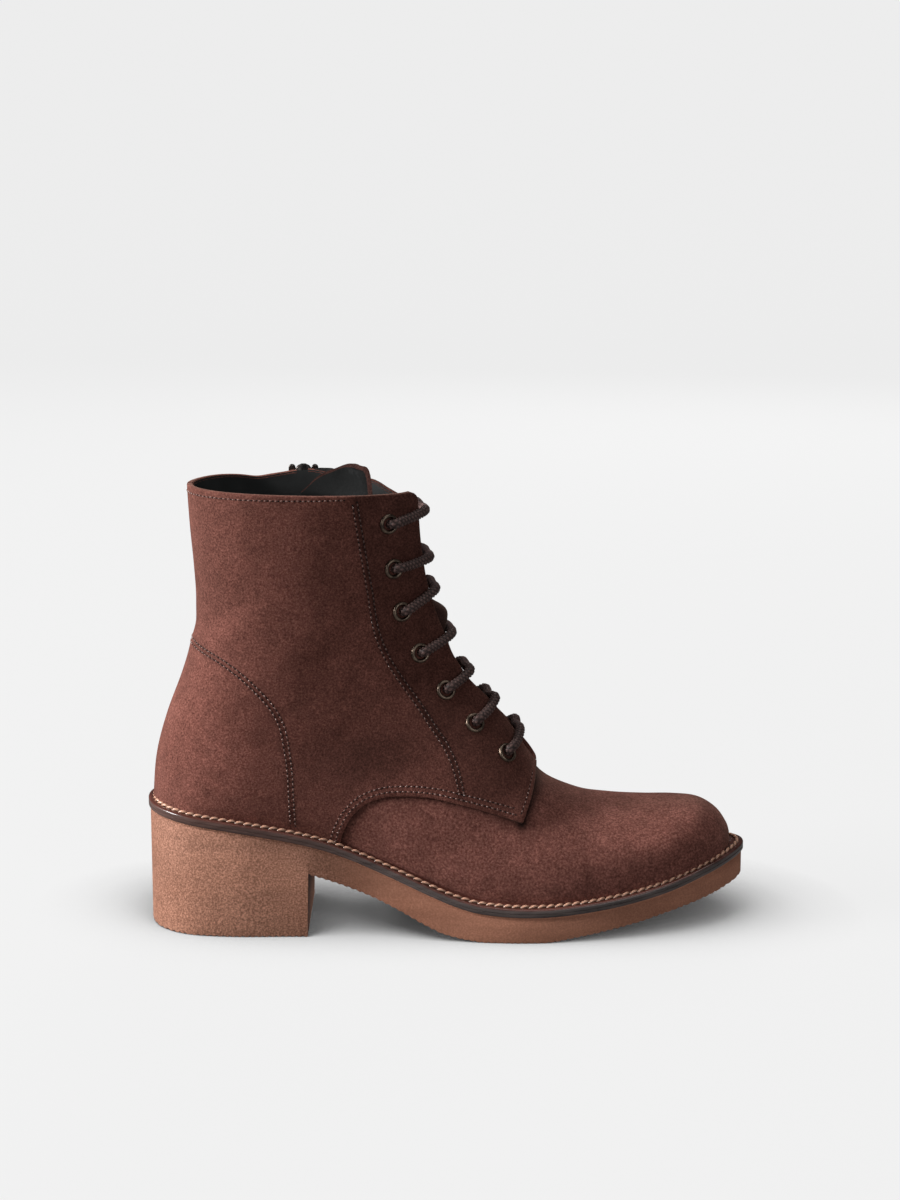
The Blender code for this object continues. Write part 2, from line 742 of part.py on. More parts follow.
def make_tongue():
    columns, count = TONGUE_ACROSS, TONGUE_ALONG
    rows = np.linspace(TONGUE["row"][0], TONGUE["row"][-1], 6 * count)
    top = -WALL - TONGUE_CLEAR
    skins = [topped(tongue_skin(rows, offset), rows) for offset in (top, top - TONGUE_THICKNESS)]
    layer = count * columns
    faces = []
    for r in range(count - 1):
        for c in range(columns - 1):
            a = r * columns + c
            outer = (a, a + columns, a + columns + 1, a + 1)
            faces.append(outer)
            faces.append(tuple(layer + i for i in outer[::-1]))
    rim = list(range(columns))
    rim += [r * columns + columns - 1 for r in range(1, count)]
    rim += [(count - 1) * columns + c for c in range(columns - 2, -1, -1)]
    rim += [r * columns for r in range(count - 2, 0, -1)]
    for i, a in enumerate(rim):
        b = rim[(i + 1) % len(rim)]
        faces.append((a, b, layer + b, layer + a))
    return mesh_object("tongue", np.concatenate(skins).reshape(-1, 3), faces, "suede")


# Eyelets and lace


def facing_place(side, height, inset, rise):
    """A point on the facing, set in from its edge, with the outward normal and the way to the edge."""
    rows = np.linspace(THROAT_ROW + THROAT_ROUND / 2, COLLAR_ROW, 160)
    points, length = half_sections(rows, side)
    edge = edge_length(points, length, rows, side, True)
    step = 1.0
    line = at_lengths(points, length, (edge - inset)[:, None] + np.array([[-step, 0.0, step]]))
    spot = np.array([np.interp(height, line[:, 1, 2], line[:, 1, axis]) for axis in range(3)])
    row = np.interp(height, line[:, 1, 2], np.arange(len(rows)))
    i = int(np.clip(round(row), 1, len(rows) - 2))
    to_edge = line[i, 2] - line[i, 0]
    along = line[i + 1, 1] - line[i - 1, 1]
    normal = np.cross(to_edge, along) if side == "lateral" else np.cross(along, to_edge)
    normal /= np.linalg.norm(normal)
    to_edge /= np.linalg.norm(to_edge)
    return spot + rise * normal, normal, to_edge


def turned_ring(place, profile):
    """Points and faces of a ring about a place's normal, from (radius, height) pairs."""
    spot, normal, to_edge = place
    other = np.cross(normal, to_edge)
    turn = np.arange(EYELET_SIDES) * 2 * math.pi / EYELET_SIDES
    circle = np.cos(turn)[:, None] * to_edge + np.sin(turn)[:, None] * other
    return stacked_loops([spot + radius * circle + height * normal for radius, height in profile])


def eyelet_places():
    """Each eyelet's place on the facing, by name."""
    places = {}
    for side in ("lateral", "medial"):
        for i in range(PAIRS):
            place = facing_place(side, EYELETS["height"][i], EYELETS["inset"][i], QUARTER_STEP)
            places[f"eyelet_{side}_{i + 1}"] = place
    return places


def eyelet_hole(name, place):
    radius = EYELET_INNER / 2 + EYELET_BARREL + GAP
    points, faces = turned_ring(place, [(radius, -RELIEF_DEPTH), (radius, RELIEF_DEPTH)])
    count = EYELET_SIDES
    faces += [tuple(range(count))[::-1], tuple(range(count, 2 * count))]
    return helper(mesh_object(name, points, faces))


def make_eyelet(name, place):
    """A flanged eyelet: a flat ring on the facing and a short barrel into its hole."""
    bore = EYELET_INNER / 2
    barrel = bore + EYELET_BARREL
    rim = EYELET_OUTER / 2
    top = GAP + EYELET_FLANGE
    profile = [
        (bore, -EYELET_DEPTH),
        (barrel, -EYELET_DEPTH),
        (barrel, GAP),
        (rim, GAP),
        (rim - GAP, top),
        (bore + GAP, top),
        (bore, -EYELET_DEPTH),
    ]
    points, faces = turned_ring(place, profile)
    return mesh_object(name, points, faces, "antique_brass")


def bar_half(side, place, pair):
    """Middle line of half a lace bar, from its eyelet to the facing's edge, and the way out there."""
    radius = LACE_DIAMETER / 2
    spot, normal, _ = place
    run = [spot + (EYELET_FLANGE + LACE_OVER_EYELET + radius) * normal]
    for share in LACE_SHARES:
        height = pair["height"] + share * pair["rise"]
        over, over_normal, _ = facing_place(side, height, (1 - share) * pair["inset"], QUARTER_STEP)
        run.append(over + (LACE_OVER_FACING + radius) * over_normal)
    return run, over_normal


def make_lace_bar(number, places):
    """One straight bar of the lace, from over one eyelet to over the other."""
    pair = {name: values[number - 1] for name, values in EYELETS.items()}
    halves = [bar_half(side, places[f"eyelet_{side}_{number}"], pair) for side in ("lateral", "medial")]
    (lateral, lateral_normal), (medial, medial_normal) = halves
    outward = lateral_normal + medial_normal
    outward /= np.linalg.norm(outward)
    middle = (lateral[-1] + medial[-1]) / 2 - pair["sink"] * outward
    line = np.array(lateral + [middle] + medial[::-1])
    knots = np.arange(len(line), dtype=float)
    at = np.linspace(0, len(line) - 1, LACE_POINTS)
    smooth = np.column_stack([flowing(knots, line[:, axis], at) for axis in range(3)])
    name = f"lace_bar_{number}"
    curve = bpy.data.curves.new(name, "CURVE")
    curve.dimensions = "3D"
    curve.bevel_depth = LACE_DIAMETER / 2 * MM
    curve.bevel_resolution = 2
    curve.use_fill_caps = True
    spline = curve.splines.new("POLY")
    spline.points.add(len(smooth) - 1)
    for point, place in zip(spline.points, smooth):
        point.co = (*(place * MM), 1.0)
    curve.materials.append(material("lace_cord"))
    made = bpy.data.objects.new(name, curve)
    bpy.context.scene.collection.objects.link(made)
    return made


# Zip


def make_zip_chain():
    inner, outer = -WALL + ZIP_SINK, QUARTER_STEP - ZIP_SINK
    chain = form_shell("zip_chain", row_list(COLLAR_ROW), inner, outer, finish="zip_metal")
    boolean(chain, zip_strip("zip_chain_strip", ZIP_CHAIN, GAP), "INTERSECT")
    return chain


def zip_place():
    """The slider's middle on the medial wall, just under the collar."""
    top, foot = np.array(ZIP_TOP), np.array(ZIP_FOOT)
    height = SLIDER_TOP - SLIDER_SIZE[2] / 2
    share = (top[1] - height) / (top[1] - foot[1])
    along = top[0] + share * (foot[0] - top[0])
    rows = np.linspace(INSOLE_ROW, len(FORM_ROWS) - 1, 120)
    grid = form_grid(rows, "medial", count=60).reshape(-1, 3)
    near = grid[np.argmin(np.hypot(grid[:, 0] - along, grid[:, 2] - height))]
    return np.array([along, near[1] + QUARTER_STEP, height])


def hinge_place():
    """Middle of the slider's pin, where the pull turns about X."""
    return zip_place() + (0, GAP + SLIDER_SIZE[1] + HINGE_REACH, SLIDER_SIZE[2] / 2 - HINGE_DROP)


def make_zip_slider():
    deep = SLIDER_SIZE[1]
    slider = box("zip_slider", zip_place() + (0, GAP + deep / 2, 0), SLIDER_SIZE, "zip_metal")
    hinge = hinge_place()
    span = PULL_EYE + 2 * GAP
    for name, sign in (("back", -1), ("front", 1)):
        centre = hinge + (sign * (span + EAR_WIDTH) / 2, -HINGE_REACH / 2, 0)
        size = (EAR_WIDTH, HINGE_REACH + 2 * PULL_EYE_WALL, EAR_HEIGHT)
        boolean(slider, helper(box(f"slider_ear_{name}", centre, size)), "UNION")
    pin = box("slider_pin", hinge, (span + EAR_WIDTH, PIN_DIAMETER, PIN_DIAMETER))
    boolean(slider, helper(pin), "UNION")
    return slider


def make_zip_pull():
    """The pull tab, hanging from the slider's pin."""
    wide, thick, long = PULL_SIZE
    room = PIN_DIAMETER + 2 * GAP
    eye = room + 2 * PULL_EYE_WALL
    hinge = hinge_place()
    pull = box("zip_pull", hinge, (PULL_EYE, eye, eye), "zip_metal")
    boolean(pull, helper(box("pull_eye_hole", hinge, (2 * PULL_EYE, room, room))))
    neck_middle = -eye / 2 - PULL_NECK / 2 + GAP
    tab_middle = neck_middle - PULL_NECK / 2 + GAP - long / 2
    neck = box("pull_neck", hinge + (0, 0, neck_middle), (PULL_EYE, thick, PULL_NECK))
    tab = box("pull_tab", hinge + (0, 0, tab_middle), (wide, thick, long))
    boolean(pull, helper(neck), "UNION")
    boolean(pull, helper(tab), "UNION")
    return pull


def clear_scene():
    for old in list(bpy.data.objects):
        bpy.data.objects.remove(old, do_unlink=True)


def main():
    clear_scene()
    make_outsole()
    make_welt()
    places = eyelet_places()
    make_upper(places)
    make_insole()
    make_tongue()
    for name, place in places.items():
        make_eyelet(name, place)
    for number in range(1, PAIRS + 1):
        make_lace_bar(number, places)
    make_zip_chain()
    make_zip_slider()
    make_zip_pull()


main()
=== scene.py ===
"""Looks of the suede ankle boot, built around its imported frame.

The frame is +X to the toe, -Y to the lateral side and +Z up. Sizes are in millimetres and become metres
where a mesh is made. The form's tables and functions repeat those of the part, so a piece lies where its
solid is. Only the tongue's top edge is drawn a little differently here.
"""

import json
import math

import bmesh
import bpy
import numpy as np
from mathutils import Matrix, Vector
from mathutils.bvhtree import BVHTree

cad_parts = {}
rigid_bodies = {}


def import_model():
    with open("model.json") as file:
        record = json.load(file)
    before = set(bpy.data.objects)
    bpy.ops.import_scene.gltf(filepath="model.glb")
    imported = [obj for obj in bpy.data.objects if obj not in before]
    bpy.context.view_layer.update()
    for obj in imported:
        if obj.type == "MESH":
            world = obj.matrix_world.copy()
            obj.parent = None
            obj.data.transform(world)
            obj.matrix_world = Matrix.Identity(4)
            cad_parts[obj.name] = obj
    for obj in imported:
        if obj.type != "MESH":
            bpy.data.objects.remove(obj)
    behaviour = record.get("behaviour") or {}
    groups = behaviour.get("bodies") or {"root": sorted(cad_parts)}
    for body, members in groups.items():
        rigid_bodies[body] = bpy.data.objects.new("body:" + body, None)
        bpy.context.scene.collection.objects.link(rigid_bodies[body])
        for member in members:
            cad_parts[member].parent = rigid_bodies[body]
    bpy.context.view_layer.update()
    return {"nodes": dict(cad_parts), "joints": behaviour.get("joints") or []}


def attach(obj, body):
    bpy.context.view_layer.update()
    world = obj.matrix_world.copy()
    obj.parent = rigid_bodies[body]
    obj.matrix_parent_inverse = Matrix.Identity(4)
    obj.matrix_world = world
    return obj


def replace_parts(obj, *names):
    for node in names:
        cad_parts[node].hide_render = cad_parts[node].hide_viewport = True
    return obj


MM = 0.001
GAP = 0.3  # between pieces that meet
FAR = 150.0  # well past the boot's sides and ends
SIDES = ("lateral", "medial")


def columns_of(names, rows):
    """The table's columns by name."""
    return dict(zip(names.split(), np.array(rows, float).T))


def rows_of(names, rows):
    """The table's rows, each with its values by name."""
    return [dict(zip(names.split(), row)) for row in rows]


# Camera, in the boot's frame
CAMERA_PLACE = (1.2, -1053.5, 347.25)
CAMERA_PITCH = 11.2  # degrees down
CAMERA_LENS = 75.75
CAMERA_SENSOR = 36.0  # its long side
CAMERA_RANGE = 50.0  # metres

# Sole
SOLE_LENGTH = 256.8
SOLE_STEP = 0.7  # between stations along the outline
SOLE_SAMPLES = 2000
SOLE_ROUND = 1.0
BREAST_BACK = -59.0
BREAST_FRONT = -58.4
BREAST_MIDDLE = (BREAST_BACK + BREAST_FRONT) / 2
BREAST_HALF = 0.5
BREAST_CLEAR = 0.15  # degrees of the outline without other stations
# painted shade on the heel's breast face, which faces away from the key light
BREAST_SHADE = 0.75
TREAD_PITCH = 2.8
TREAD_DEPTH = 0.45
TREAD_CUT = 0.4  # share of the pitch that is groove
# The foot of the sole's side: inset and rise as shares of its round, and the share of the tread's depth
SIDE_FOOT_ROWS = ((1.0, 0.0, 1.0), (0.35, 0.18, 0.8), (0.0, 1.0, 0.2))
# The fine groove and the upper edge of the sole's side, as insets and drops from its top
SIDE_TOP_ROWS = ((0.0, 1.5), (0.22, 1.25), (0.22, 1.0), (0.0, 0.7), (0.0, 0.25), (0.3, 0.0))
# A painted highlight along the upper edge of the sole's side
SIDE_EDGE_HIGHLIGHT = 0.35
SIDE_EDGE_DROP = 0.25  # the painted highlight reaches down to this
HEEL_FADE = 25.0  # ahead of the breast the heel's stipple fades over this
SOLE_STIPPLE = 0.35  # share of the heel's stipple on the rest

# Welt
WELT_REACH = 0.8  # past the sole's side
WELT_WIDTH = 9.6
WELT_ROOT = 4.8
WELT_STATIONS = 720
# The welt's section, as insets from its outline and rises over the sole
WELT_ROWS = (
    (WELT_WIDTH, 0.0), (0.35, 0.0), (0.0, 0.3), (0.0, 1.35), (0.25, 1.5), (0.25, 1.7), (0.0, 1.85),
    (0.0, 2.9), (0.15, 3.3), (0.6, 3.6), (1.5, 3.85), (2.1, 3.7), (2.75, 3.7), (3.4, 3.95), (4.0, 4.4),
    (4.8, 4.75), (WELT_WIDTH, WELT_ROOT),
)
WELT_LIP = (0.1, 3.0)  # past this inset and rise the strip is waxed
WELT_HEEL_FADE = (-80.0, -10.0)  # from the heel's brown to the sides' grey
WELT_STITCH_PITCH = 3.6
WELT_STITCH_LENGTH = 1.22  # pitches
WELT_STITCH_RADIUS = 0.66
WELT_STITCH_SIDES = 10
WELT_STITCH_DIVE = 4.0
WELT_STITCH_INSET = 2.8
WELT_STITCH_RISE = 4.1
WELT_STITCH_SLANT = 16.0  # degrees
WELT_STITCH_LEAN = 0.35  # outwards, for each unit up
WELT_STITCH_SHADING = (0.22, 1.3)  # painted shade low down, and how much lighter higher up as a painted highlight
WELT_STITCH_HEIGHTS = (-0.25, 0.85)  # between these the tone grows

# Upper
WALL = 1.6
QUARTER_STEP = 1.2
COLLAR_ROW = 25.0
THROAT_ROW = 9.25
THROAT_ROUND = 0.6
UPPER_ROWS = 430
UPPER_COLUMNS = 92
LINING_SKIP = 3  # the lining takes every third row and column
SECTION_SAMPLES = 721
COARSE_SAMPLES = 241
SPACING_ROWS = 1500  # rows and samples that the spacing of the wall's rows is measured on
SPACING_SAMPLES = 181
FACING_SAMPLES = 160  # rows along the facing
SMOOTH_PASSES = 12
TUCK = 1.2  # the wall goes this far down behind the welt's top
RIM = 0.45  # the edges' round stands out by this
RIM_ROWS = ((0.6, 0.06), (1.0, 0.25), (1.0, 0.6), (0.5, 0.9))  # out and down, of the round and the wall
RIM_TURN_IN = (0.8, 0.05)  # the rim's last step, back and below the wall
COLLAR_BACK_OFF = 0.04  # form rows between the wall's grid and the collar, for the rim
CORNER_ROUND = 4.0  # between collar and facing
EDGE_DROP = 0.4  # the quarter's cut edge is rounded down by this
EDGE_ROUND = 0.9
FLAP_LIFT = 1.3
FLAP_REACH = 7.0
SEAM_TROUGH = 0.22
SEAM_HALF = 1.5

# Stitches of the upper
SEAM_STEP = 0.5  # between points along a seam
SEAM_CLEAR = 1.0  # from the quarter's edge
STITCH_PITCH = 2.25
STITCH_LENGTH = 0.58  # pitches
STITCH_RADIUS = 0.33
STITCH_SINK = 0.12
STITCH_ROWS = 1.0  # each row of a double seam lies this far from its middle
STITCH_STAGGER = 2  # points that its second row starts later
HOLE_RADIUS = 0.40
HOLE_CROWN = 0.03
HOLE_RISE = 0.02
BEAD_RISE = 0.35  # a stitch's middle stands this share of its radius over its line
# Stations along a stitch, and its girth there
BEAD_ROWS = ((-0.5, 0.45), (-0.42, 0.8), (-0.2, 1.0), (0.0, 1.05), (0.2, 1.0), (0.42, 0.8), (0.5, 0.45))
TOPLINE_DROP = 2.3
TOPLINE_SLANT = 22.0  # degrees
TOPLINE_SHORT = 1.5  # of the eyestay's seam
TOPLINE_SEARCH = 12  # rows below the collar
ZIP_STITCH_REACH = 3.0  # from the slit
ZIP_STITCH_TOP = 184.0

# Tongue
TONGUE_THICKNESS = 2.4
TONGUE_SUEDE_SHARE = 0.4  # of the thickness
TONGUE_LINING_SHORT = 0.09  # form rows
TONGUE_CLEAR = 0.8
TONGUE_ACROSS = 31
TONGUE_ALONG = 110
TONGUE_SAMPLES = 600
TONGUE_SPREAD = 0.3
TONGUE_BULGE = 6.0  # between the third and fourth bars
TONGUE_BULGE_HEIGHT = 134.0
TONGUE_BULGE_HALF = 6.0

# Eyelets and lace
EYELET_OUTER = 8.5
EYELET_INNER = 5.2
EYELET_SIDES = 32
EYELET_ROLL = (0.15, 0.95)  # foot and height of the rolled flange
EYELET_BARREL = (0.1, 0.5)  # the barrel's faces, outside the bore
EYELET_DEPTH = 1.9
LACE_DIAMETER = 4.1
LACE_OVER_FACING = 0.05
LACE_STEP = 0.35
LACE_SIDES = 24
LACE_STRANDS = 4  # each way round
LACE_LAY = 6.6  # a strand goes once round in this length
LACE_RELIEF = 0.4
LACE_GROOVE = (0.03, 0.4)  # a strand rises between these shares of its width
LACE_MEAN = 0.7  # of the relief lies inside the lace's diameter
LACE_SHADING = (0.22, 1.47)  # painted shade in the grooves and painted light on the strands
LACE_IN_EYELET = ((-1.2, 0.3), (1.9, 1.5))  # over the facing, and towards its edge
LACE_SHARES = (0.38, 0.68, 0.97)  # of the way from eyelet to edge
LACE_INSIDE = 4.0  # hidden runs lie this far inside the form
LACE_RETURN = 6.0  # the long hidden run lies this much further from the edge
LACE_RETURN_START = 8.0  # over the lowest eyelet
LACE_RETURN_POINTS = 7

# Zip
ZIP_TOP = (-63.0, 196.0)
ZIP_FOOT = (-51.0, 64.0)
ZIP_SLIT = 5.0
ZIP_PITCH = 1.6
TOOTH_TOP = 181.5
# Height, half width, near end and far end of a tooth's foot and top
TOOTH_ROWS = ((-1.0, 0.525, -0.9, 2.1), (0.75, 0.375, -0.6, 1.7))
STOP_SIZE = (2.9, 2.6, 6.0)  # the end stops beside the slider
STOP_BEVEL = 0.4
STOP_REACH = 4.95
STOP_DROP = 0.3
TAPE_STEP = 1.0
TAPE_TOP = 190.0
TAPE_REACH = (0.7, ZIP_SLIT / 2 + 1.2)
TAPE_DEPTHS = (-0.15, -0.6)
TAPE_END = (-58.0, -47.6)  # the tape's folded end along the boot
TAPE_END_STATIONS = 12
TAPE_END_FOOT = 185.0
TAPE_END_TOP = 191.6
TAPE_END_ROUND = 1.6
TAPE_END_DEPTHS = (-1.0, 0.2)
SLIDER_SIZE = (8.0, 2.6, 11.0)
SLIDER_FOOT = 0.36  # half width there, as a share of the width
SLIDER_CROWN = 0.9
SLIDER_BEVEL = 0.5
HINGE_DROP = 4.0
HINGE_REACH = 2.6
PIN_DIAMETER = 1.4
PIN_OVER = 1.6  # longer than the ears' span
EAR_ENDS = (1.4, -2.4)
EAR_HALF = 1.3
EAR_THICKNESS = 1.0
EAR_BEVEL = 0.25
EAR_BACK = 0.9
EYE_HALF = 1.3
EYE_WALL = 0.8
EYE_SIDES = 24
PULL_SIZE = (5.6, 1.4, 22.0)
PULL_DROPS = (1.6, 2.0)  # below the eye: the tab's top, and its foot less its length
PULL_BEVEL = 0.3
PULL_NARROW = 0.93
PULL_SLOT = (8.5, 2.2)  # its ends, over the tab's foot
PULL_SLOT_HALF = 1.25
NECK_ENDS = (0.2, 1.5)  # past the eye's bore and into the tab
NECK_HALF = 0.65
NECK_BEVEL = 0.2

# Stage, and the lights in metres and watts
STAGE_REACH = 2600.0
STAGE_BEND = 900.0
STAGE_BEND_STATIONS = 25
STAGE_TOP = 5000.0
STAGE_SIDES = 128
PAPER_GLOW = 0.83
PAPER_FACING = (-0.28, -0.66, 0.70)  # shade falls away from this side
PAPER_SHADE_REACHES = (22.0, 38.0, 60.0)
PAPER_SHADE_POWER = 4.0
WORLD_LIGHT = {"From Min": -0.2, "From Max": 0.2, "To Min": 0.20, "To Max": 0.05}  # brighter from below
LIGHTS = rows_of("name place aim size power", (
    ("key", (-1.96, -0.38, 1.02), (0.0, 0.0, 0.10), 0.8, 78.0),
    ("top", (0.3, 0.1, 2.2), (0.05, 0.0, 0.05), 1.2, 9.0),
    ("front", (0.8, -1.5, 0.6), (0.0, 0.0, 0.08), 0.8, 5.0),
    ("back", (0.3, 1.8, 0.9), (0.0, 0.0, 0.08), 0.9, 18.0),
))

# Tables of the form
OUTLINE = columns_of("angle lateral medial", (
    (0, -2.5, -2.5),
    (15, -19.5, 14.5),
    (30, -31.0, 26.0),
    (45, -35.0, 28.6),
    (60, -34.8, 26.6),
    (75, -35.3, 21.8),
    (90, -40.8, 25.5),
    (105, -43.6, 37.0),
    (120, -40.0, 43.2),
    (135, -32.8, 40.4),
    (150, -22.4, 30.4),
    (165, -9.5, 16.0),
    (180, 2.0, 2.0),
))
UNDERSIDE = columns_of("along height", (
    (-58.4, 27.3),
    (-45.0, 22.9),
    (-32.5, 18.0),
    (-20.0, 12.0),
    (-11.0, 7.2),
    (-2.0, 3.2),
    (8.0, 0.9),
    (16.0, 0.0),
    (40.0, 0.0),
    (55.0, 2.0),
    (74.0, 5.3),
    (94.0, 9.9),
    (110.0, 13.6),
    (128.4, 18.0),
))
JOINT = columns_of("along height", (
    (-130.0, 51.2),
    (-110.0, 48.8),
    (-78.0, 44.0),
    (-51.0, 37.8),
    (-24.0, 27.0),
    (-10.0, 21.0),
    (1.0, 16.5),
    (11.0, 13.4),
    (22.0, 12.0),
    (40.0, 11.5),
    (60.0, 13.0),
    (79.0, 15.9),
    (94.0, 19.2),
    (110.0, 24.0),
    (130.0, 29.6),
))
FORM = columns_of("base_x base_z ridge_x ridge_z lateral medial middle widest base_power ridge_power", (
    (122.3, 17.0, 122.3, 36.0, 0.6, 0.6, 2.5, 0.62, 3.0, 2.6),
    (120.9, 14.5, 120.9, 40.2, 8.5, 8.7, 2.5, 0.62, 3.0, 2.6),
    (116.6, 13.5, 116.6, 46.0, 16.5, 17.0, 2.5, 0.61, 3.0, 2.6),
    (109.0, 12.0, 109.0, 50.2, 23.3, 25.0, 2.3, 0.57, 3.0, 2.5),
    (98.5, 9.0, 98.5, 51.2, 29.0, 31.0, 2.0, 0.53, 3.0, 2.4),
    (85.0, 6.0, 85.0, 51.1, 33.8, 35.7, 1.8, 0.50, 3.0, 2.3),
    (71.0, 3.5, 71.0, 51.9, 37.5, 38.5, 1.5, 0.48, 3.0, 2.2),
    (57.0, 1.8, 57.0, 54.7, 39.8, 39.0, 1.0, 0.46, 3.0, 2.0),
    (45.0, 1.0, 45.0, 59.6, 40.6, 38.0, 0.5, 0.43, 3.0, 1.9),
    (31.0, 0.8, 37.8, 66.0, 39.6, 36.2, 0.0, 0.41, 3.0, 1.8),
    (15.0, 2.0, 33.4, 75.2, 38.5, 32.8, -0.3, 0.38, 3.0, 1.7),
    (-4.0, 8.0, 28.4, 84.9, 36.8, 27.4, -0.6, 0.38, 3.0, 1.7),
    (-29.0, 18.5, 23.0, 93.4, 34.3, 23.8, -1.0, 0.40, 3.0, 1.7),
    (-61.0, 30.0, 17.1, 101.4, 31.8, 23.5, -1.5, 0.42, 3.0, 1.7),
    (-93.0, 36.0, 11.3, 108.8, 30.8, 24.8, -2.0, 0.43, 3.0, 1.7),
    (-119.5, 40.0, 7.4, 116.4, 30.5, 26.1, -2.3, 0.43, 3.0, 1.7),
    (-124.9, 49.0, 5.2, 121.0, 30.3, 26.6, -2.5, 0.43, 3.0, 1.7),
    (-125.0, 61.0, 3.2, 126.6, 30.2, 27.0, -2.6, 0.43, 3.0, 1.7),
    (-123.2, 75.0, 0.0, 134.2, 30.1, 27.4, -2.7, 0.44, 3.0, 1.7),
    (-118.6, 91.0, -3.2, 143.0, 29.8, 27.8, -2.8, 0.45, 3.0, 1.7),
    (-111.9, 108.5, -5.8, 152.5, 29.3, 28.3, -3.0, 0.46, 3.0, 1.7),
    (-106.9, 125.0, -7.4, 161.0, 29.1, 28.7, -3.2, 0.47, 2.9, 1.7),
    (-105.3, 140.0, -8.5, 168.5, 29.1, 29.3, -3.4, 0.48, 2.8, 1.7),
    (-106.0, 156.0, -9.2, 175.5, 29.4, 29.8, -3.5, 0.49, 2.8, 1.7),
    (-107.3, 172.0, -9.7, 181.5, 29.8, 30.1, -3.5, 0.50, 2.7, 1.7),
    (-108.2, 190.0, -10.0, 187.5, 30.3, 30.6, -3.5, 0.50, 2.7, 1.7),
    (-108.4, 208.0, -10.2, 204.0, 30.3, 30.6, -3.5, 0.50, 2.7, 1.7),
))
THROAT = columns_of("row lateral medial", (
    (9.0, 7.0, 7.0),
    (12.0, 8.0, 8.5),
    (17.0, 9.0, 10.5),
    (21.0, 9.5, 13.0),
    (24.0, 9.5, 16.5),
    (25.0, 9.5, 24.0),
    (26.0, 9.5, 28.5),
))
EYELETS = columns_of("height inset rise sink", (
    (175.5, 16.5, 3.5, -1.5),
    (156.5, 16.0, 2.5, -1.5),
    (138.0, 16.0, 7.0, -1.5),
    (120.0, 14.5, 5.5, -2.2),
    (103.5, 12.5, 5.5, -1.0),
    (89.5, 14.5, 7.0, 0.5),
    (76.5, 14.5, 6.5, 0.5),
))
PAIRS = len(EYELETS["height"])
TONGUE = columns_of("row half_width sink lean drift turn flat", (
    (8.6, 13.0, 0.5, 0.0, 0.0, 0.0, 0.0),
    (10.0, 16.0, 2.5, 0.0, 0.0, 0.0, 0.0),
    (13.0, 18.0, 2.5, 0.0, 0.0, 0.0, 0.0),
    (16.0, 19.0, 1.5, 1.0, 0.0, 0.0, 0.0),
    (19.0, 20.0, 0.5, 4.5, 1.0, 4.0, 0.1),
    (21.0, 21.0, 0.0, 12.0, 3.0, 18.0, 0.3),
    (23.0, 21.5, 0.0, 25.0, 6.0, 42.0, 0.6),
    (24.5, 21.5, 0.0, 33.0, 8.0, 54.0, 0.75),
    (26.0, 22.0, 0.0, 32.0, 9.0, 58.0, 0.8),
))
TONGUE_TOP = columns_of("across row", (
    (-1.0, 24.5),
    (-0.85, 25.2),
    (-0.45, 25.58),
    (0.1, 25.45),
    (0.6, 25.1),
    (1.0, 24.42),
))

# Side view lines of the upper: the quarter's lower edge to its corner, its front edge, and two flush seams
QUARTER_LOWER = (
    (-45.5, 34.0), (-44.5, 42.6), (-42.8, 47.5), (-39.5, 53.2), (-34.0, 58.2), (-27.0, 60.9),
    (-18.0, 61.5), (-7.0, 60.7), (5.4, 57.9), (18.0, 54.3), (31.4, 49.4),
)
QUARTER_FRONT = ((31.4, 49.4), (34.6, 59.0), (37.0, 70.0))
EYESTAY_SEAM = (
    (-38.2, 185.4), (-35.6, 168.0), (-32.5, 148.5), (-29.0, 128.5), (-24.5, 117.5), (-18.7, 108.0),
    (-12.5, 99.0), (-6.1, 89.3), (-0.4, 80.8), (2.6, 74.5), (4.8, 67.3), (6.2, 60.5),
)
EYESTAY_ON = (2.0, -25.0)  # the eyestay's line goes on below its seam by this
COUNTER_SEAM = (
    (-106.0, 123.0), (-100.4, 121.2), (-92.9, 117.8), (-85.8, 113.0), (-78.9, 106.7), (-72.4, 98.9),
    (-68.9, 91.8), (-66.8, 81.0), (-65.7, 72.0), (-65.2, 59.6), (-64.6, 48.0),
)
FLUSH_SEAMS = (EYESTAY_SEAM, COUNTER_SEAM)
# Seams along the quarter's edges: the edge, the inset, and the first and last of its points
EDGE_SEAM_ROWS = ((QUARTER_LOWER, 2.0, 8, -6), (QUARTER_LOWER, 4.2, 8, -10), (QUARTER_FRONT, 2.0, 6, -6))

# Soft oval patches in the side view
PATCH_COLUMNS = "along height angle half_length half_width amount"

# Creases: each a trough of this depth, or a ridge where it is negative
CREASES = rows_of(PATCH_COLUMNS, (
    (-94.0, 136.0, 32.0, 15.0, 4.5, 1.1),
    (-97.0, 127.0, 25.0, 14.0, 5.0, -0.7),
    (-44.0, 126.0, 50.0, 17.0, 9.0, 0.6),
    (-61.0, 101.0, 28.0, 13.0, 6.0, 0.5),
    (-70.0, 118.0, 35.0, 20.0, 8.0, -0.4),
    (60.0, 50.0, 100.0, 16.0, 6.0, 0.35),
))

# The medial collar's edge in the side view: where it stands higher or lower than its plane
COLLAR_WAVES = rows_of("along half_length rise", (
    (-60.0, 11.0, 2.6),
    (-82.0, 5.0, -0.8),
    (-98.0, 9.0, 0.6),
))
COLLAR_WAVE_HEIGHTS = (168.0, 188.0)  # between these the waves grow to their full rise
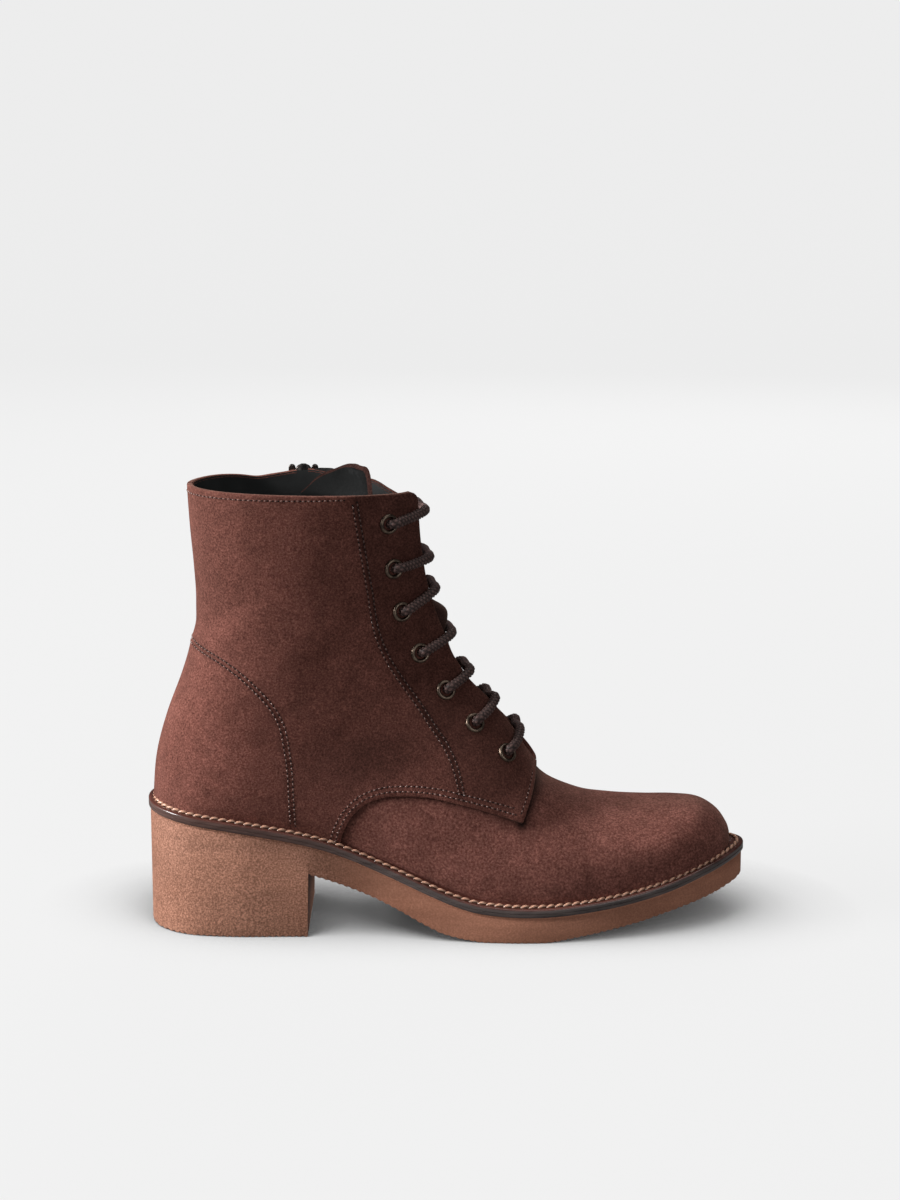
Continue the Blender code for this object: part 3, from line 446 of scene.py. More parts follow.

# Where the suede and the rubber are lighter by this share, or darker where it is negative. On the suede
# these are partly the nap's own tone and wear, partly painted shade in creases and hollows, beside the
# quarter's front corner and at the toe's end.
NAP_AND_SHADE = rows_of(PATCH_COLUMNS, (
    (-97.0, 78.0, 80.0, 34.0, 24.0, 0.32),
    (-100.0, 150.0, 88.0, 30.0, 8.0, -0.16),
    (-52.0, 150.0, 80.0, 34.0, 12.0, -0.12),
    (-34.0, 77.0, 10.0, 30.0, 14.0, -0.46),
    (16.0, 62.0, -15.0, 16.0, 9.0, -0.14),
    (-62.0, 98.0, 30.0, 14.0, 5.0, -0.12),
    (85.0, 47.0, -4.0, 32.0, 10.0, 0.38),
    (49.0, 59.0, -25.0, 11.0, 5.0, -0.24),
    (68.0, 24.0, -8.0, 26.0, 7.0, 0.10),
    (-53.0, 128.0, 50.0, 14.0, 12.0, 0.10),
    (112.0, 37.0, 100.0, 14.0, 9.0, -0.22),
    (60.0, 36.0, -12.0, 34.0, 9.0, 0.06),
))
# On the rubber: painted bounce light low on the heel and painted shade on the heel's back; the other two
# make the waist and the toe darker.
SOLE_TONES = rows_of(PATCH_COLUMNS, (
    (-90.0, 6.0, 0.0, 40.0, 16.0, 0.42),
    (-128.0, 28.0, 90.0, 34.0, 20.0, -0.34),
    (-42.0, 30.0, -25.0, 28.0, 12.0, -0.40),
    (110.0, 22.0, 20.0, 22.0, 10.0, -0.10),
))

# Shares by which the suede is coloured darker or lighter, several of them painted shade, and the distances
# over which they grow
PANEL_TONE_AND_SHADE = 0.42  # ahead of the eyestay's seam: partly the panel's own tone, partly painted shade on this side, which faces away from the key light
PANEL_GROWS = (-0.6, 0.8)
FACING_SHADE = 0.12  # painted shade further ahead of it, towards the facing's edge
FACING_GROWS = (6.0, 30.0)
PANEL_LOW = 0.5  # share of both that is left low down
PANEL_HEIGHTS = (55.0, 105.0)
CUT_EDGE_LIGHT = 0.30  # along the quarter's cut edge
SEAM_DARK = 0.22
SEAM_DARK_HALF = 1.7
LOWER_EDGE_SHADE = 0.60  # painted shade on the vamp under the quarter's lower edge
LOWER_EDGE_REACH = 1.6
FRONT_EDGE_SHADE = 0.92  # painted shade on the vamp under the quarter's front edge
FRONT_EDGE_REACH = (2.4, 3.4)  # low down, and how much more higher up
FRONT_EDGE_HEIGHTS = (50.0, 64.0)


# Curves


def hermite(knots, values, slopes, at):
    at = np.clip(np.asarray(at, float), knots[0], knots[-1])
    i = np.clip(np.searchsorted(knots, at) - 1, 0, len(knots) - 2)
    width = knots[i + 1] - knots[i]
    t = (at - knots[i]) / width
    ends = values[i] * (1 + 2 * t) * (1 - t) ** 2 + values[i + 1] * t * t * (3 - 2 * t)
    return ends + width * t * (1 - t) * (slopes[i] * (1 - t) - slopes[i + 1] * t)


def flowing(knots, values, at):
    """A cubic curve through the values, with each slope taken from the two neighbours."""
    return hermite(knots, values, np.gradient(values, knots), at)


def steady(knots, values, at):
    """A cubic curve through the values that never swings past them."""
    steps = np.diff(values) / np.diff(knots)
    before, after = steps[:-1], steps[1:]
    same_way = before * after > 0
    inner = np.where(same_way, 2 * before * after / np.where(same_way, before + after, 1), 0)
    return hermite(knots, values, np.concatenate([steps[:1], inner, steps[-1:]]), at)


def run_of(line):
    """Length along a line of points, from its start to each of them."""
    return np.concatenate([[0.0], np.cumsum(np.linalg.norm(np.diff(line, axis=0), axis=1))])


def read_at(at, run, line):
    """Points at places along a line whose own points lie at the places in run."""
    return np.stack([np.interp(at, run, values) for values in np.asarray(line).T], axis=-1)


def spaced(line, step):
    """Points at even steps along a line."""
    run = run_of(line)
    count = max(2, round(run[-1] / step) + 1)
    return read_at(np.linspace(0, run[-1], count), run, line)


def smooth_line(points, step=2.0):
    """Points at even steps along a smooth curve through these."""
    points = np.asarray(points, float)
    knots = run_of(points)
    dense = np.linspace(0, knots[-1], max(16, int(4 * knots[-1] / step)))
    return spaced(np.column_stack([flowing(knots, values, dense) for values in points.T]), step)


def unit(vectors):
    size = np.linalg.norm(vectors, axis=-1, keepdims=True)
    return vectors / np.where(size > 1e-9, size, 1)


def eased(value, low, high):
    """From 0 at low to 1 at high, smoothly."""
    t = np.clip((value - low) / (high - low), 0, 1)
    return t * t * (3 - 2 * t)


# Side view fields


def side_view(points):
    """Side view points, along and up, of a list or grid of points."""
    return points[..., (0, 2)].reshape(-1, 2)


def line_distance(points, line):
    """Distance of side view points from a line."""
    best = np.full(len(points), np.inf)
    for a, b in zip(line[:-1], line[1:]):
        along = b - a
        share = np.clip(((points - a) @ along) / (along @ along), 0, 1)
        best = np.minimum(best, np.linalg.norm(points - a - share[:, None] * along, axis=1))
    return best


def inside(points, outline):
    """Which side view points lie inside a closed outline."""
    found = np.zeros(len(points), bool)
    for (ax, az), (bx, bz) in zip(outline, np.roll(outline, -1, axis=0)):
        spans = (az > points[:, 1]) != (bz > points[:, 1])
        rise = bz - az if bz != az else 1.0
        crossing = ax + (points[:, 1] - az) * (bx - ax) / rise
        found ^= spans & (points[:, 0] < crossing)
    return found


def quarter_line():
    lower = smooth_line(QUARTER_LOWER, 1.0)
    front = smooth_line(QUARTER_FRONT, 1.0)
    return np.concatenate([lower, front[1:]])


def quarter_field(points):
    """Distance from the quarter's edge: positive on the quarter, negative on the vamp."""
    line = quarter_line()
    reach = 12.0
    top = line[-1] + reach
    outline = np.concatenate([line, [top, (FAR, top[1]), (FAR, -FAR), (line[0, 0], -FAR)]])
    return np.where(inside(points, outline), -1, 1) * line_distance(points, line)


def zip_field(points):
    """Distance from the zip's slit: negative inside it."""
    top, foot = np.array(ZIP_TOP), np.array(ZIP_FOOT)
    down = unit(foot - top)
    away = points - top
    along = away @ down
    across = np.abs(away @ np.array([-down[1], down[0]]))
    return np.maximum(across - ZIP_SLIT / 2, along - np.linalg.norm(foot - top))


def soft_patches(points, patches):
    """Sum of soft oval patches at these side view points."""
    total = np.zeros(len(points))
    for patch in patches:
        turn = math.radians(patch["angle"])
        away = points - (patch["along"], patch["height"])
        along = away @ (math.cos(turn), math.sin(turn))
        across = away @ (-math.sin(turn), math.cos(turn))
        soft = np.exp(-((along / patch["half_length"]) ** 2) - (across / patch["half_width"]) ** 2)
        total += patch["amount"] * soft
    return total


def eyestay_field(points):
    """Distance ahead of the eyestay's seam, negative behind it."""
    line = smooth_line(EYESTAY_SEAM)
    below, above = line[-1] + EYESTAY_ON, line[0] + (0.0, FAR)
    outline = np.concatenate([line, [below, (FAR, below[1]), (FAR, above[1]), above]])
    return np.where(inside(points, outline), 1, -1) * line_distance(points, line)


def soft_line(points, line, half_width):
    """A soft band along a side view line, 1 on it."""
    return np.exp(-((line_distance(points, line) / half_width) ** 2))


def nap_and_shade_tone(points):
    """How light the quarter is at these side view points, where 1 is its own colour: the nap's patches, the
    seams' dark lines and painted shade.
    """
    tone = 1 + soft_patches(points, NAP_AND_SHADE)
    ahead = eyestay_field(points)
    panel = PANEL_TONE_AND_SHADE * eased(ahead, *PANEL_GROWS) + FACING_SHADE * eased(ahead, *FACING_GROWS)
    tone -= panel * (PANEL_LOW + (1 - PANEL_LOW) * eased(points[:, 1], *PANEL_HEIGHTS))
    tone += CUT_EDGE_LIGHT * soft_line(points, quarter_line(), EDGE_ROUND)
    for seam in FLUSH_SEAMS:
        tone -= SEAM_DARK * soft_line(points, smooth_line(seam), SEAM_DARK_HALF)
    return tone


def vamp_tone(points):
    """How light the vamp is at these side view points: the nap's patches, with painted shade close to the
    quarter's edge over it.
    """
    tone = 1 + soft_patches(points, NAP_AND_SHADE)
    lower = np.exp(-line_distance(points, smooth_line(QUARTER_LOWER)) / LOWER_EDGE_REACH)
    low_reach, more = FRONT_EDGE_REACH
    reach = low_reach + more * eased(points[:, 1], *FRONT_EDGE_HEIGHTS)
    front = soft_line(points, smooth_line(QUARTER_FRONT), reach)
    return tone * (1 - LOWER_EDGE_SHADE * lower) * (1 - FRONT_EDGE_SHADE * front)


def flap_lift(points):
    """How far the quarter's front corner stands off the vamp."""
    return FLAP_LIFT * soft_line(points, smooth_line(QUARTER_FRONT), FLAP_REACH)


# The boot's form


def joint_height(along):
    return flowing(JOINT["along"], JOINT["height"], along)


def feather_height(along):
    """Lower edge of the upper, just clear of the welt."""
    return joint_height(along) + WELT_ROOT + GAP


def form_at(rows):
    knots = np.arange(len(FORM["base_x"]), dtype=float)
    return {name: flowing(knots, values, rows) for name, values in FORM.items()}


def throat_half(rows, side):
    """Half width of the throat: nothing below its lower end, and round there."""
    opening = np.clip((np.asarray(rows) - THROAT_ROW) / THROAT_ROUND, 0, 1)
    return flowing(THROAT["row"], THROAT[side], rows) * np.sqrt(opening * (2 - opening))


def half_sections(rows, side, samples=SECTION_SAMPLES):
    """Dense half sections from base to ridge, as points and the length along each, by row."""
    row = {name: values[:, None] for name, values in form_at(rows).items()}
    turn = np.linspace(0, math.pi, samples)[None, :]
    lean = np.abs(np.cos(turn))
    lower = row["widest"] * (1 - lean ** (2 / row["base_power"]))
    upper = row["widest"] + (1 - row["widest"]) * lean ** (2 / row["ridge_power"])
    place = np.where(turn < math.pi / 2, lower, upper)
    sign = -1 if side == "lateral" else 1
    points = np.stack(
        [
            row["base_x"] + place * (row["ridge_x"] - row["base_x"]),
            row["middle"] + sign * row[side] * np.sin(turn),
            row["base_z"] + place * (row["ridge_z"] - row["base_z"]),
        ],
        axis=2,
    )
    steps = np.linalg.norm(np.diff(points, axis=1), axis=2)
    length = np.concatenate([np.zeros((len(points), 1)), np.cumsum(steps, axis=1)], axis=1)
    return points, length


def at_lengths(points, length, wanted):
    """Points at the wanted lengths along each dense section."""
    return np.array([read_at(*section) for section in zip(wanted, length, points)])


def edge_length(points, length, rows, side):
    """Length from the base to the facing's edge, or to the ridge where the section is whole."""
    half = throat_half(rows, side)
    middle = form_at(rows)["middle"]
    ends = []
    for i in range(len(points)):
        across = np.abs(points[i, :, 1] - middle[i])
        top = len(across) // 2
        ends.append(np.interp(half[i], across[top:][::-1], length[i, top:][::-1]))
    return np.array(ends)


def welt_length(points, length):
    """Length from the base to where the wall comes out of the welt."""
    clear = points[:, :, 2] - feather_height(points[:, :, 0]) + TUCK
    starts = np.zeros(len(points))
    for i in np.flatnonzero(clear[:, 0] < 0):
        first = int(np.argmax(clear[i] > 0))
        pair = slice(first - 1, first + 1)
        starts[i] = np.interp(0, clear[i, pair], length[i, pair])
    return starts


def upper_rows():
    """Form rows, spaced by the longest step that any part of the section takes."""
    dense = np.linspace(0, COLLAR_ROW - COLLAR_BACK_OFF, SPACING_ROWS)
    points, length = half_sections(dense, "lateral", SPACING_SAMPLES)
    start = welt_length(points, length)
    end = length[:, -1]
    marks = at_lengths(points, length, np.stack([start, (start + end) / 2, end], axis=1))
    steps = np.linalg.norm(np.diff(marks, axis=0), axis=2).max(axis=1)
    travel = np.concatenate([[0.0], np.cumsum(steps)])
    return np.interp(np.linspace(0, travel[-1], UPPER_ROWS), travel, dense)


def facing_end(points, length, rows, side):
    """Length at which the wall's grid ends: short of the facing's edge, and round at the collar."""
    end = edge_length(points, length, rows, side)
    edge = at_lengths(points, length, end[:, None])[:, 0]
    to_collar = np.linalg.norm(edge - edge[-1], axis=1)
    near = np.clip(CORNER_ROUND - to_collar, 0, CORNER_ROUND)
    corner = CORNER_ROUND - np.sqrt(CORNER_ROUND**2 - near**2)
    return end - corner - RIM * np.clip((rows - THROAT_ROW) / THROAT_ROUND, 0, 1)


def grid_normals(grid, side):
    along = np.gradient(grid, axis=0)
    up = np.gradient(grid, axis=1)
    return unit(np.cross(up, along) if side == "lateral" else np.cross(along, up))


def meeting(grids, column):
    """Rows where the two sides meet in this column."""
    return np.linalg.norm(grids["lateral"][:, column] - grids["medial"][:, column], axis=1) < 1e-6


def smooth_sections(grids):
    """The sides with small kinks of the sections smoothed out, across the lines where they meet."""
    joined = {column: meeting(grids, column) for column in (0, -1)}
    for _ in range(SMOOTH_PASSES):
        before = {side: grid.copy() for side, grid in grids.items()}
        for side, grid in grids.items():
            old = before[side]
            grid[:, 1:-1] = (old[:, :-2] + 2 * old[:, 1:-1] + old[:, 2:]) / 4
        for column, beside in ((0, 1), (-1, -2)):
            rows = joined[column]
            near = sum(before[side][rows, beside] for side in SIDES)
            for side in SIDES:
                grids[side][rows, column] = before[side][rows, column] / 2 + near / 4
    return grids


def shared_normals(grids):
    """Outward normals of both sides. Where the sides meet they share one."""
    normals = {side: grid_normals(grids[side], side) for side in SIDES}
    for column in (0, -1):
        rows = meeting(grids, column)
        shared = sum(normals[side][:, column] for side in SIDES)
        shared[:, 1] = 0
        for side in SIDES:
            normals[side][rows, column] = unit(shared)[rows]
    for side in SIDES:
        normals[side][0] = (1, 0, 0)
    return normals


def collar_rise(grid):
    """How far each point of the medial side is raised by the waves of the collar's edge."""
    rise = np.zeros(grid.shape[:2])
    for wave in COLLAR_WAVES:
        rise += wave["rise"] * np.exp(-(((grid[..., 0] - wave["along"]) / wave["half_length"]) ** 2))
    return rise * eased(grid[..., 2], *COLLAR_WAVE_HEIGHTS)


def form_surface():
    """Both sides of the upper's form, creased: points and normals on one set of rows."""
    rows = upper_rows()
    grids = {}
    for side in SIDES:
        points, length = half_sections(rows, side)
        start = welt_length(points, length)
        end = facing_end(points, length, rows, side)
        share = np.linspace(0, 1, UPPER_COLUMNS)[None, :]
        grids[side] = at_lengths(points, length, start[:, None] + share * (end - start)[:, None])
    grids = smooth_sections(grids)
    normals = shared_normals(grids)
    for side in SIDES:
        depth = soft_patches(side_view(grids[side]), CREASES).reshape(grids[side].shape[:2])
        grids[side] = grids[side] - depth[..., None] * normals[side]
    grids["medial"][..., 2] += collar_rise(grids["medial"])
    return rows, grids, shared_normals(grids)


# Materials


class Look:
    """A material being put together."""

    def __init__(self, name, colour, roughness, **sockets):
        self.made = bpy.data.materials.new(name)
        self.made.use_nodes = True
        self.tree = self.made.node_tree
        self.shader = self.tree.nodes["Principled BSDF"]
        self.shader.inputs["Base Color"].default_value = (*colour, 1.0)
        self.shader.inputs["Roughness"].default_value = roughness
        for socket, value in sockets.items():
            self.shader.inputs[socket.replace("_", " ")].default_value = value
        self.place = self.tree.nodes.new("ShaderNodeTexCoord").outputs["Object"]

    def add(self, kind, inputs=(), **settings):
        node = self.tree.nodes.new(kind)
        for name, value in settings.items():
            setattr(node, name, value)
        for socket, value in dict(inputs).items():
            if isinstance(value, bpy.types.NodeSocket):
                self.tree.links.new(value, node.inputs[socket])
            else:
                node.inputs[socket].default_value = value
        return node

    def stretched(self, scale):
        """Object coordinates with each axis scaled."""
        return self.add("ShaderNodeMapping", {"Vector": self.place, "Scale": scale}).outputs[0]

    def noise(self, scale, detail=2.0, roughness=0.5, place=None):
        values = {"Vector": place or self.place, "Scale": scale, "Detail": detail, "Roughness": roughness}
        return self.add("ShaderNodeTexNoise", values).outputs["Fac"]

    def ramp(self, factor, stops):
        """Colours or greys over a factor, from (position, colour) pairs."""
        node = self.add("ShaderNodeValToRGB", {"Fac": factor})
        elements = node.color_ramp.elements
        while len(elements) < len(stops):
            elements.new(0.5)
        for element, (position, colour) in zip(elements, stops):
            element.position = position
            element.color = (*colour, 1.0) if isinstance(colour, tuple) else (colour, colour, colour, 1.0)
        return node.outputs["Color"]

    def between(self, factor, low, high, start=0.3, end=0.7):
        """From one colour or grey to another over a factor."""
        return self.ramp(factor, [(start, low), (end, high)])

    def mix(self, factor, a, b, blend="MIX"):
        inputs = {0: factor, 6: a, 7: b}
        return self.add("ShaderNodeMix", inputs, data_type="RGBA", blend_type=blend).outputs[2]

    def times(self, colour, *others):
        """The product of colours."""
        for other in others:
            colour = self.mix(1.0, colour, other, "MULTIPLY")
        return colour

    def math(self, operation, a, b=0.0):
        return self.add("ShaderNodeMath", {0: a, 1: b}, operation=operation).outputs[0]

    def mark(self, name):
        """A value that the mesh has at each of its points."""
        return self.add("ShaderNodeAttribute", attribute_name=name).outputs["Fac"]

    def colour(self, socket):
        self.tree.links.new(socket, self.shader.inputs["Base Color"])

    def roughness(self, socket):
        self.tree.links.new(socket, self.shader.inputs["Roughness"])

    def bump(self, height, strength, distance):
        """Adds a bump over the ones already there. The distance is in millimetres."""
        values = {"Height": height, "Strength": strength, "Distance": distance * MM}
        node = self.add("ShaderNodeBump", values)
        normal = self.shader.inputs["Normal"]
        if normal.is_linked:
            self.tree.links.new(normal.links[0].from_socket, node.inputs["Normal"])
        self.tree.links.new(node.outputs["Normal"], normal)


def suede(name, low, high, nap_scale, toned=True):
    """Brushed leather between two tones: a fine nap over soft clouds, with a little sheen."""
    sheen = {"Sheen_Weight": 0.14, "Sheen_Roughness": 0.5, "Sheen_Tint": (0.82, 0.58, 0.46, 1.0)}
    look = Look(name, high, 0.95, Specular_IOR_Level=0.10, **sheen)
    nap = look.noise(nap_scale, 4.0, 0.75)
    fibre = look.noise(2600, 2.0, 0.7)
    tone = look.between(look.noise(55, 4.0, 0.62), low, high, 0.32, 0.68)
    mottle = look.between(look.noise(170, 3.0, 0.6), 0.88, 1.12, 0.35, 0.65)
    dark, own, light = (0.46, 0.39, 0.38), (0.95, 0.94, 0.94), (1.70, 1.86, 1.82)
    colour = look.times(tone, mottle, look.ramp(nap, [(0.34, dark), (0.5, own), (0.66, light)]))
    # The mesh's tone mark carries the nap's patches and painted shade.
    if toned:
        colour = look.times(colour, look.mark("tone"))
    look.colour(colour)
    look.bump(nap, 0.45, 0.22)
    look.bump(fibre, 0.5, 0.10)
    return look.made


def lining_leather(name, low, high):
    """Black leather between two greys, a little cold."""
    look = Look(name, (high, high, high), 0.7, Specular_IOR_Level=0.08)
    grain = look.noise(900, 3.0, 0.6)
    dark, light = ((grey, 1.03 * grey, 1.03 * grey) for grey in (low, high))
    look.colour(look.between(look.noise(60, 2.0), dark, light))
    look.roughness(look.between(grain, 0.62, 0.8))
    look.bump(grain, 0.35, 0.12)
    return look.made


def rubber():
    """Tan crepe-like rubber with soft streaks, and a coarse stipple where the mesh says so."""
    look = Look("rubber", (0.52, 0.21, 0.12), 0.75, Specular_IOR_Level=0.15)
    stipple = look.noise(1350, 3.0, 0.7)
    cloud = look.noise(25, 3.0, 0.6)
    streak = look.noise(60, 3.0, 0.6, look.stretched((0.25, 0.25, 2.0)))
    front = look.between(cloud, (0.385, 0.161, 0.097), (0.490, 0.213, 0.132))
    heel = look.between(cloud, (0.375, 0.174, 0.113), (0.478, 0.230, 0.153))
    tone = look.mix(look.mark("stipple"), front, heel)
    streaked = look.mix(0.6, tone, look.between(streak, 0.75, 1.1, 0.35, 0.65), "MULTIPLY")
    spots = look.ramp(stipple, [(0.36, 0.58), (0.5, 0.97), (0.66, (1.52, 1.60, 1.68))])
    stippled = look.mix(look.mark("stipple"), streaked, look.times(streaked, spots))
    # The tone mark carries painted light and shade.
    look.colour(look.times(stippled, look.mark("tone")))
    look.roughness(look.between(cloud, 0.62, 0.78))
    look.bump(stipple, 0.5, 0.25)
    return look.made


def welt_leather():
    """Leather strip: waxed and glossy on top, greyer on its cut side, and brown at the heel."""
    look = Look("welt_leather", (0.06, 0.03, 0.022), 0.35, Coat_Weight=0.35, Coat_Roughness=0.12)
    scuff = look.noise(220, 4.0, 0.65, look.stretched((0.3, 0.3, 2.5)))
    side = look.between(scuff, (0.058, 0.044, 0.041), (0.130, 0.099, 0.092))
    heel = look.between(scuff, (0.064, 0.033, 0.027), (0.130, 0.072, 0.060))
    top = look.between(scuff, (0.070, 0.020, 0.014), (0.130, 0.042, 0.030))
    look.colour(look.mix(look.mark("tone"), look.mix(look.mark("heel"), side, heel), top))
    look.roughness(look.between(scuff, 0.24, 0.45))
    look.bump(scuff, 0.25, 0.12)
    return look.made


def thread(name, colour):
    """Waxed thread, lighter or darker by the mesh's tone mark, which carries painted light and shade."""
    look = Look(name, colour, 0.35, Specular_IOR_Level=0.8)
    ply = look.noise(2500, 2.0, 0.6)
    dark = tuple(0.6 * value for value in colour)
    look.colour(look.times(look.between(ply, dark, colour, 0.3, 0.6), look.mark("tone")))
    look.roughness(look.between(ply, 0.42, 0.28))
    look.bump(ply, 0.5, 0.1)
    return look.made


# Near-black discs of painted shade stand for the needle holes.
def needle_hole_shade():
    look = Look("needle_hole_shade", (0.012, 0.005, 0.004), 1.0)
    look.colour(look.between(look.noise(1500), (0.010, 0.004, 0.003), (0.022, 0.009, 0.007)))
    return look.made


def antique_brass():
    look = Look("antique_brass", (0.18, 0.13, 0.09), 0.38, Metallic=1.0)
    worn = look.noise(420, 3.0, 0.6)
    look.colour(look.between(worn, (0.10, 0.075, 0.060), (0.30, 0.225, 0.17), 0.35))
    look.roughness(look.between(worn, 0.3, 0.5))
    look.bump(worn, 0.15, 0.08)
    return look.made


def lace_cord():
    look = Look("lace_cord", (0.085, 0.055, 0.05), 0.6, Sheen_Weight=0.05, Specular_IOR_Level=0.25)
    fibre = look.noise(1400, 3.0, 0.65)
    tone = look.between(look.noise(160, 2.0), (0.092, 0.052, 0.047), (0.132, 0.078, 0.070))
    look.colour(look.times(tone, look.between(fibre, 0.65, 1.3), look.mark("tone")))
    look.roughness(look.between(fibre, 0.42, 0.65))
    look.bump(fibre, 0.4, 0.12)
    return look.made


def zip_metal():
    look = Look("zip_metal", (0.07, 0.062, 0.06), 0.35, Metallic=1.0)
    worn = look.noise(500, 3.0, 0.6)
    look.colour(look.between(worn, (0.05, 0.045, 0.044), (0.13, 0.11, 0.10)))
    look.roughness(look.between(worn, 0.26, 0.46))
    look.bump(worn, 0.1, 0.05)
    return look.made


def paper():
    """Pale paper that glows evenly in the open, its glow falling dark close under the boot and behind it as
    painted shadow.
    """
    white = (1.0, 1.0, 1.0, 1.0)
    look = Look("paper", (0.045, 0.045, 0.045), 0.9, Specular_IOR_Level=0.0, Emission_Color=white)
    towards = look.add("ShaderNodeCombineXYZ", dict(zip("XYZ", PAPER_FACING))).outputs[0]
    clear = 0.0
    for reach in PAPER_SHADE_REACHES:
        values = {"Distance": reach * MM, "Normal": towards}
        near = look.add("ShaderNodeAmbientOcclusion", values, samples=2).outputs["AO"]
        clear = look.math("ADD", clear, look.math("DIVIDE", near, len(PAPER_SHADE_REACHES)))
    glow = look.math("MULTIPLY", look.math("POWER", clear, PAPER_SHADE_POWER), PAPER_GLOW)
    look.tree.links.new(glow, look.shader.inputs["Emission Strength"])
    return look.made


def zip_tape():
    look = Look("zip_tape", (0.015, 0.013, 0.013), 0.85)
    weave = look.noise(1800, 2.0, 0.6, look.stretched((1.0, 1.0, 0.4)))
    look.colour(look.between(weave, (0.010, 0.009, 0.009), (0.028, 0.024, 0.023)))
    look.bump(weave, 0.6, 0.15)
    return look.made


# Mesh pieces


def placed(name, data):
    """A new object in the scene."""
    made = bpy.data.objects.new(name, data)
    bpy.context.scene.collection.objects.link(made)
    return made


def piece(name, points, faces, finish, slot, body="boot", outward=True, sharp=40.0, second=None, marks=()):
    """A piece from points in millimetres, riding on its body. Points that coincide become one.

    Second is another finish and how many of the last faces it covers. Marks are named values at the points.
    """
    mesh = bpy.data.meshes.new(name)
    mesh.from_pydata((np.asarray(points, float) * MM).tolist(), [], faces)
    mesh.materials.append(finish)
    if second:
        mesh.materials.append(second[0])
        kinds = np.arange(len(faces)) >= len(faces) - second[1]
        mesh.polygons.foreach_set("material_index", kinds.astype(np.int32))
    for mark, values in dict(marks).items():
        mesh.attributes.new(mark, "FLOAT", "POINT").data.foreach_set("value", values.astype(np.float32))
    build = bmesh.new()
    build.from_mesh(mesh)
    bmesh.ops.remove_doubles(build, verts=build.verts, dist=1e-6)
    bmesh.ops.dissolve_degenerate(build, edges=build.edges, dist=1e-6)
    bmesh.ops.delete(build, geom=[v for v in build.verts if not v.link_faces], context="VERTS")
    if outward:
        bmesh.ops.recalc_face_normals(build, faces=build.faces)
        if build.calc_volume(signed=True) < 0:
            bmesh.ops.reverse_faces(build, faces=build.faces)
    build.to_mesh(mesh)
    build.free()
    made = placed(name, mesh)
    mesh.shade_smooth()
    mesh.set_sharp_from_angle(angle=math.radians(sharp))
    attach(made, body)
    return made


def stacked_loops(loops):
    """Points of the loops and the faces from each to the next."""
    count = len(loops[0])
    faces = []
    for low in range(0, count * (len(loops) - 1), count):
        for i in range(count):
            j = (i + 1) % count
            faces.append((low + i, low + j, low + count + j, low + count + i))
    return np.concatenate(loops), faces


def capped(loops):
    """Stacked loops with both ends filled."""
    points, faces = stacked_loops(loops)
    count = len(loops[0])
    last = len(points) - count
    return points, faces + [tuple(range(count))[::-1], tuple(range(last, last + count))]


def shifted(faces, start):
    """The faces with their points counted on from start."""
    return [tuple(v + start for v in face) for face in faces]


def joined(parts):
    """Several (points, faces) pairs as one."""
    points, faces, start = [], [], 0
    for part_points, part_faces in parts:
        points.append(part_points)
        faces += shifted(part_faces, start)
        start += len(part_points)
    return np.concatenate(points), faces


def moved(part, by):
    return part[0] + by, part[1]


def turns(sides):
    """Even angles once round, in radians."""
    return np.arange(sides) * 2 * math.pi / sides


def grid_faces(rows, columns, flip=False):
    """Quads of a grid of points stored row by row."""
    start = (np.arange(rows - 1)[:, None] * columns + np.arange(columns - 1)[None, :]).ravel()
    faces = np.stack([start, start + 1, start + columns + 1, start + columns], axis=1)
    return faces[:, ::-1] if flip else faces


def repeated(places, shape, faces):
    """Copies of a small shape at places given as (origin, along, across, up) arrays."""
    origin, *axes = places
    points = origin[:, None] + sum(shape[None, :, i : i + 1] * axis[:, None] for i, axis in enumerate(axes))
    copies = [face for i in range(len(origin)) for face in shifted(faces, i * len(shape))]
    return points.reshape(-1, 3), copies


def bead(length, radius, sides=6, dive=6.5):
    """A stitch: a short thread whose ends dive into the surface."""
    turn = turns(sides)
    loops = []
    for station, girth in BEAD_ROWS:
        across = girth * radius * np.cos(turn)
        up = girth * radius * np.sin(turn) + radius * (BEAD_RISE - dive * station**2)
        loops.append(np.column_stack([np.full(sides, station * length), across, up]))
    return capped(loops)


def disc(radius, crown, sides=8):
    """A flat round spot, a little higher in its middle."""
    turn = turns(sides)
    rim = np.column_stack([radius * np.cos(turn), radius * np.sin(turn), np.zeros(sides)])
    return np.concatenate([rim, [(0, 0, crown)]]), [(i, (i + 1) % sides, sides) for i in range(sides)]


# Upper


def snapped(grid, field):
    """The grid with the points nearest to the field's zero line moved onto it, and the field zero there."""
    nearest = np.full(field.shape, np.inf)
    target = grid.copy()
    for axis in (0, 1):
        for step in (1, -1):
            other = np.roll(field, -step, axis)
            other_point = np.roll(grid, -step, axis)
            crosses = field * other < 0
            wrapped = [slice(None), slice(None)]
            wrapped[axis] = -1 if step == 1 else 0
            crosses[tuple(wrapped)] = False
            share = np.where(crosses, field / np.where(crosses, field - other, 1), 1)
            gap = share * np.linalg.norm(other_point - grid, axis=2)
            better = crosses & (share <= 0.5) & (gap < nearest)
            nearest[better] = gap[better]
            target[better] = (grid + share[..., None] * (other_point - grid))[better]
    return target, np.where(np.isfinite(nearest), 0.0, field)


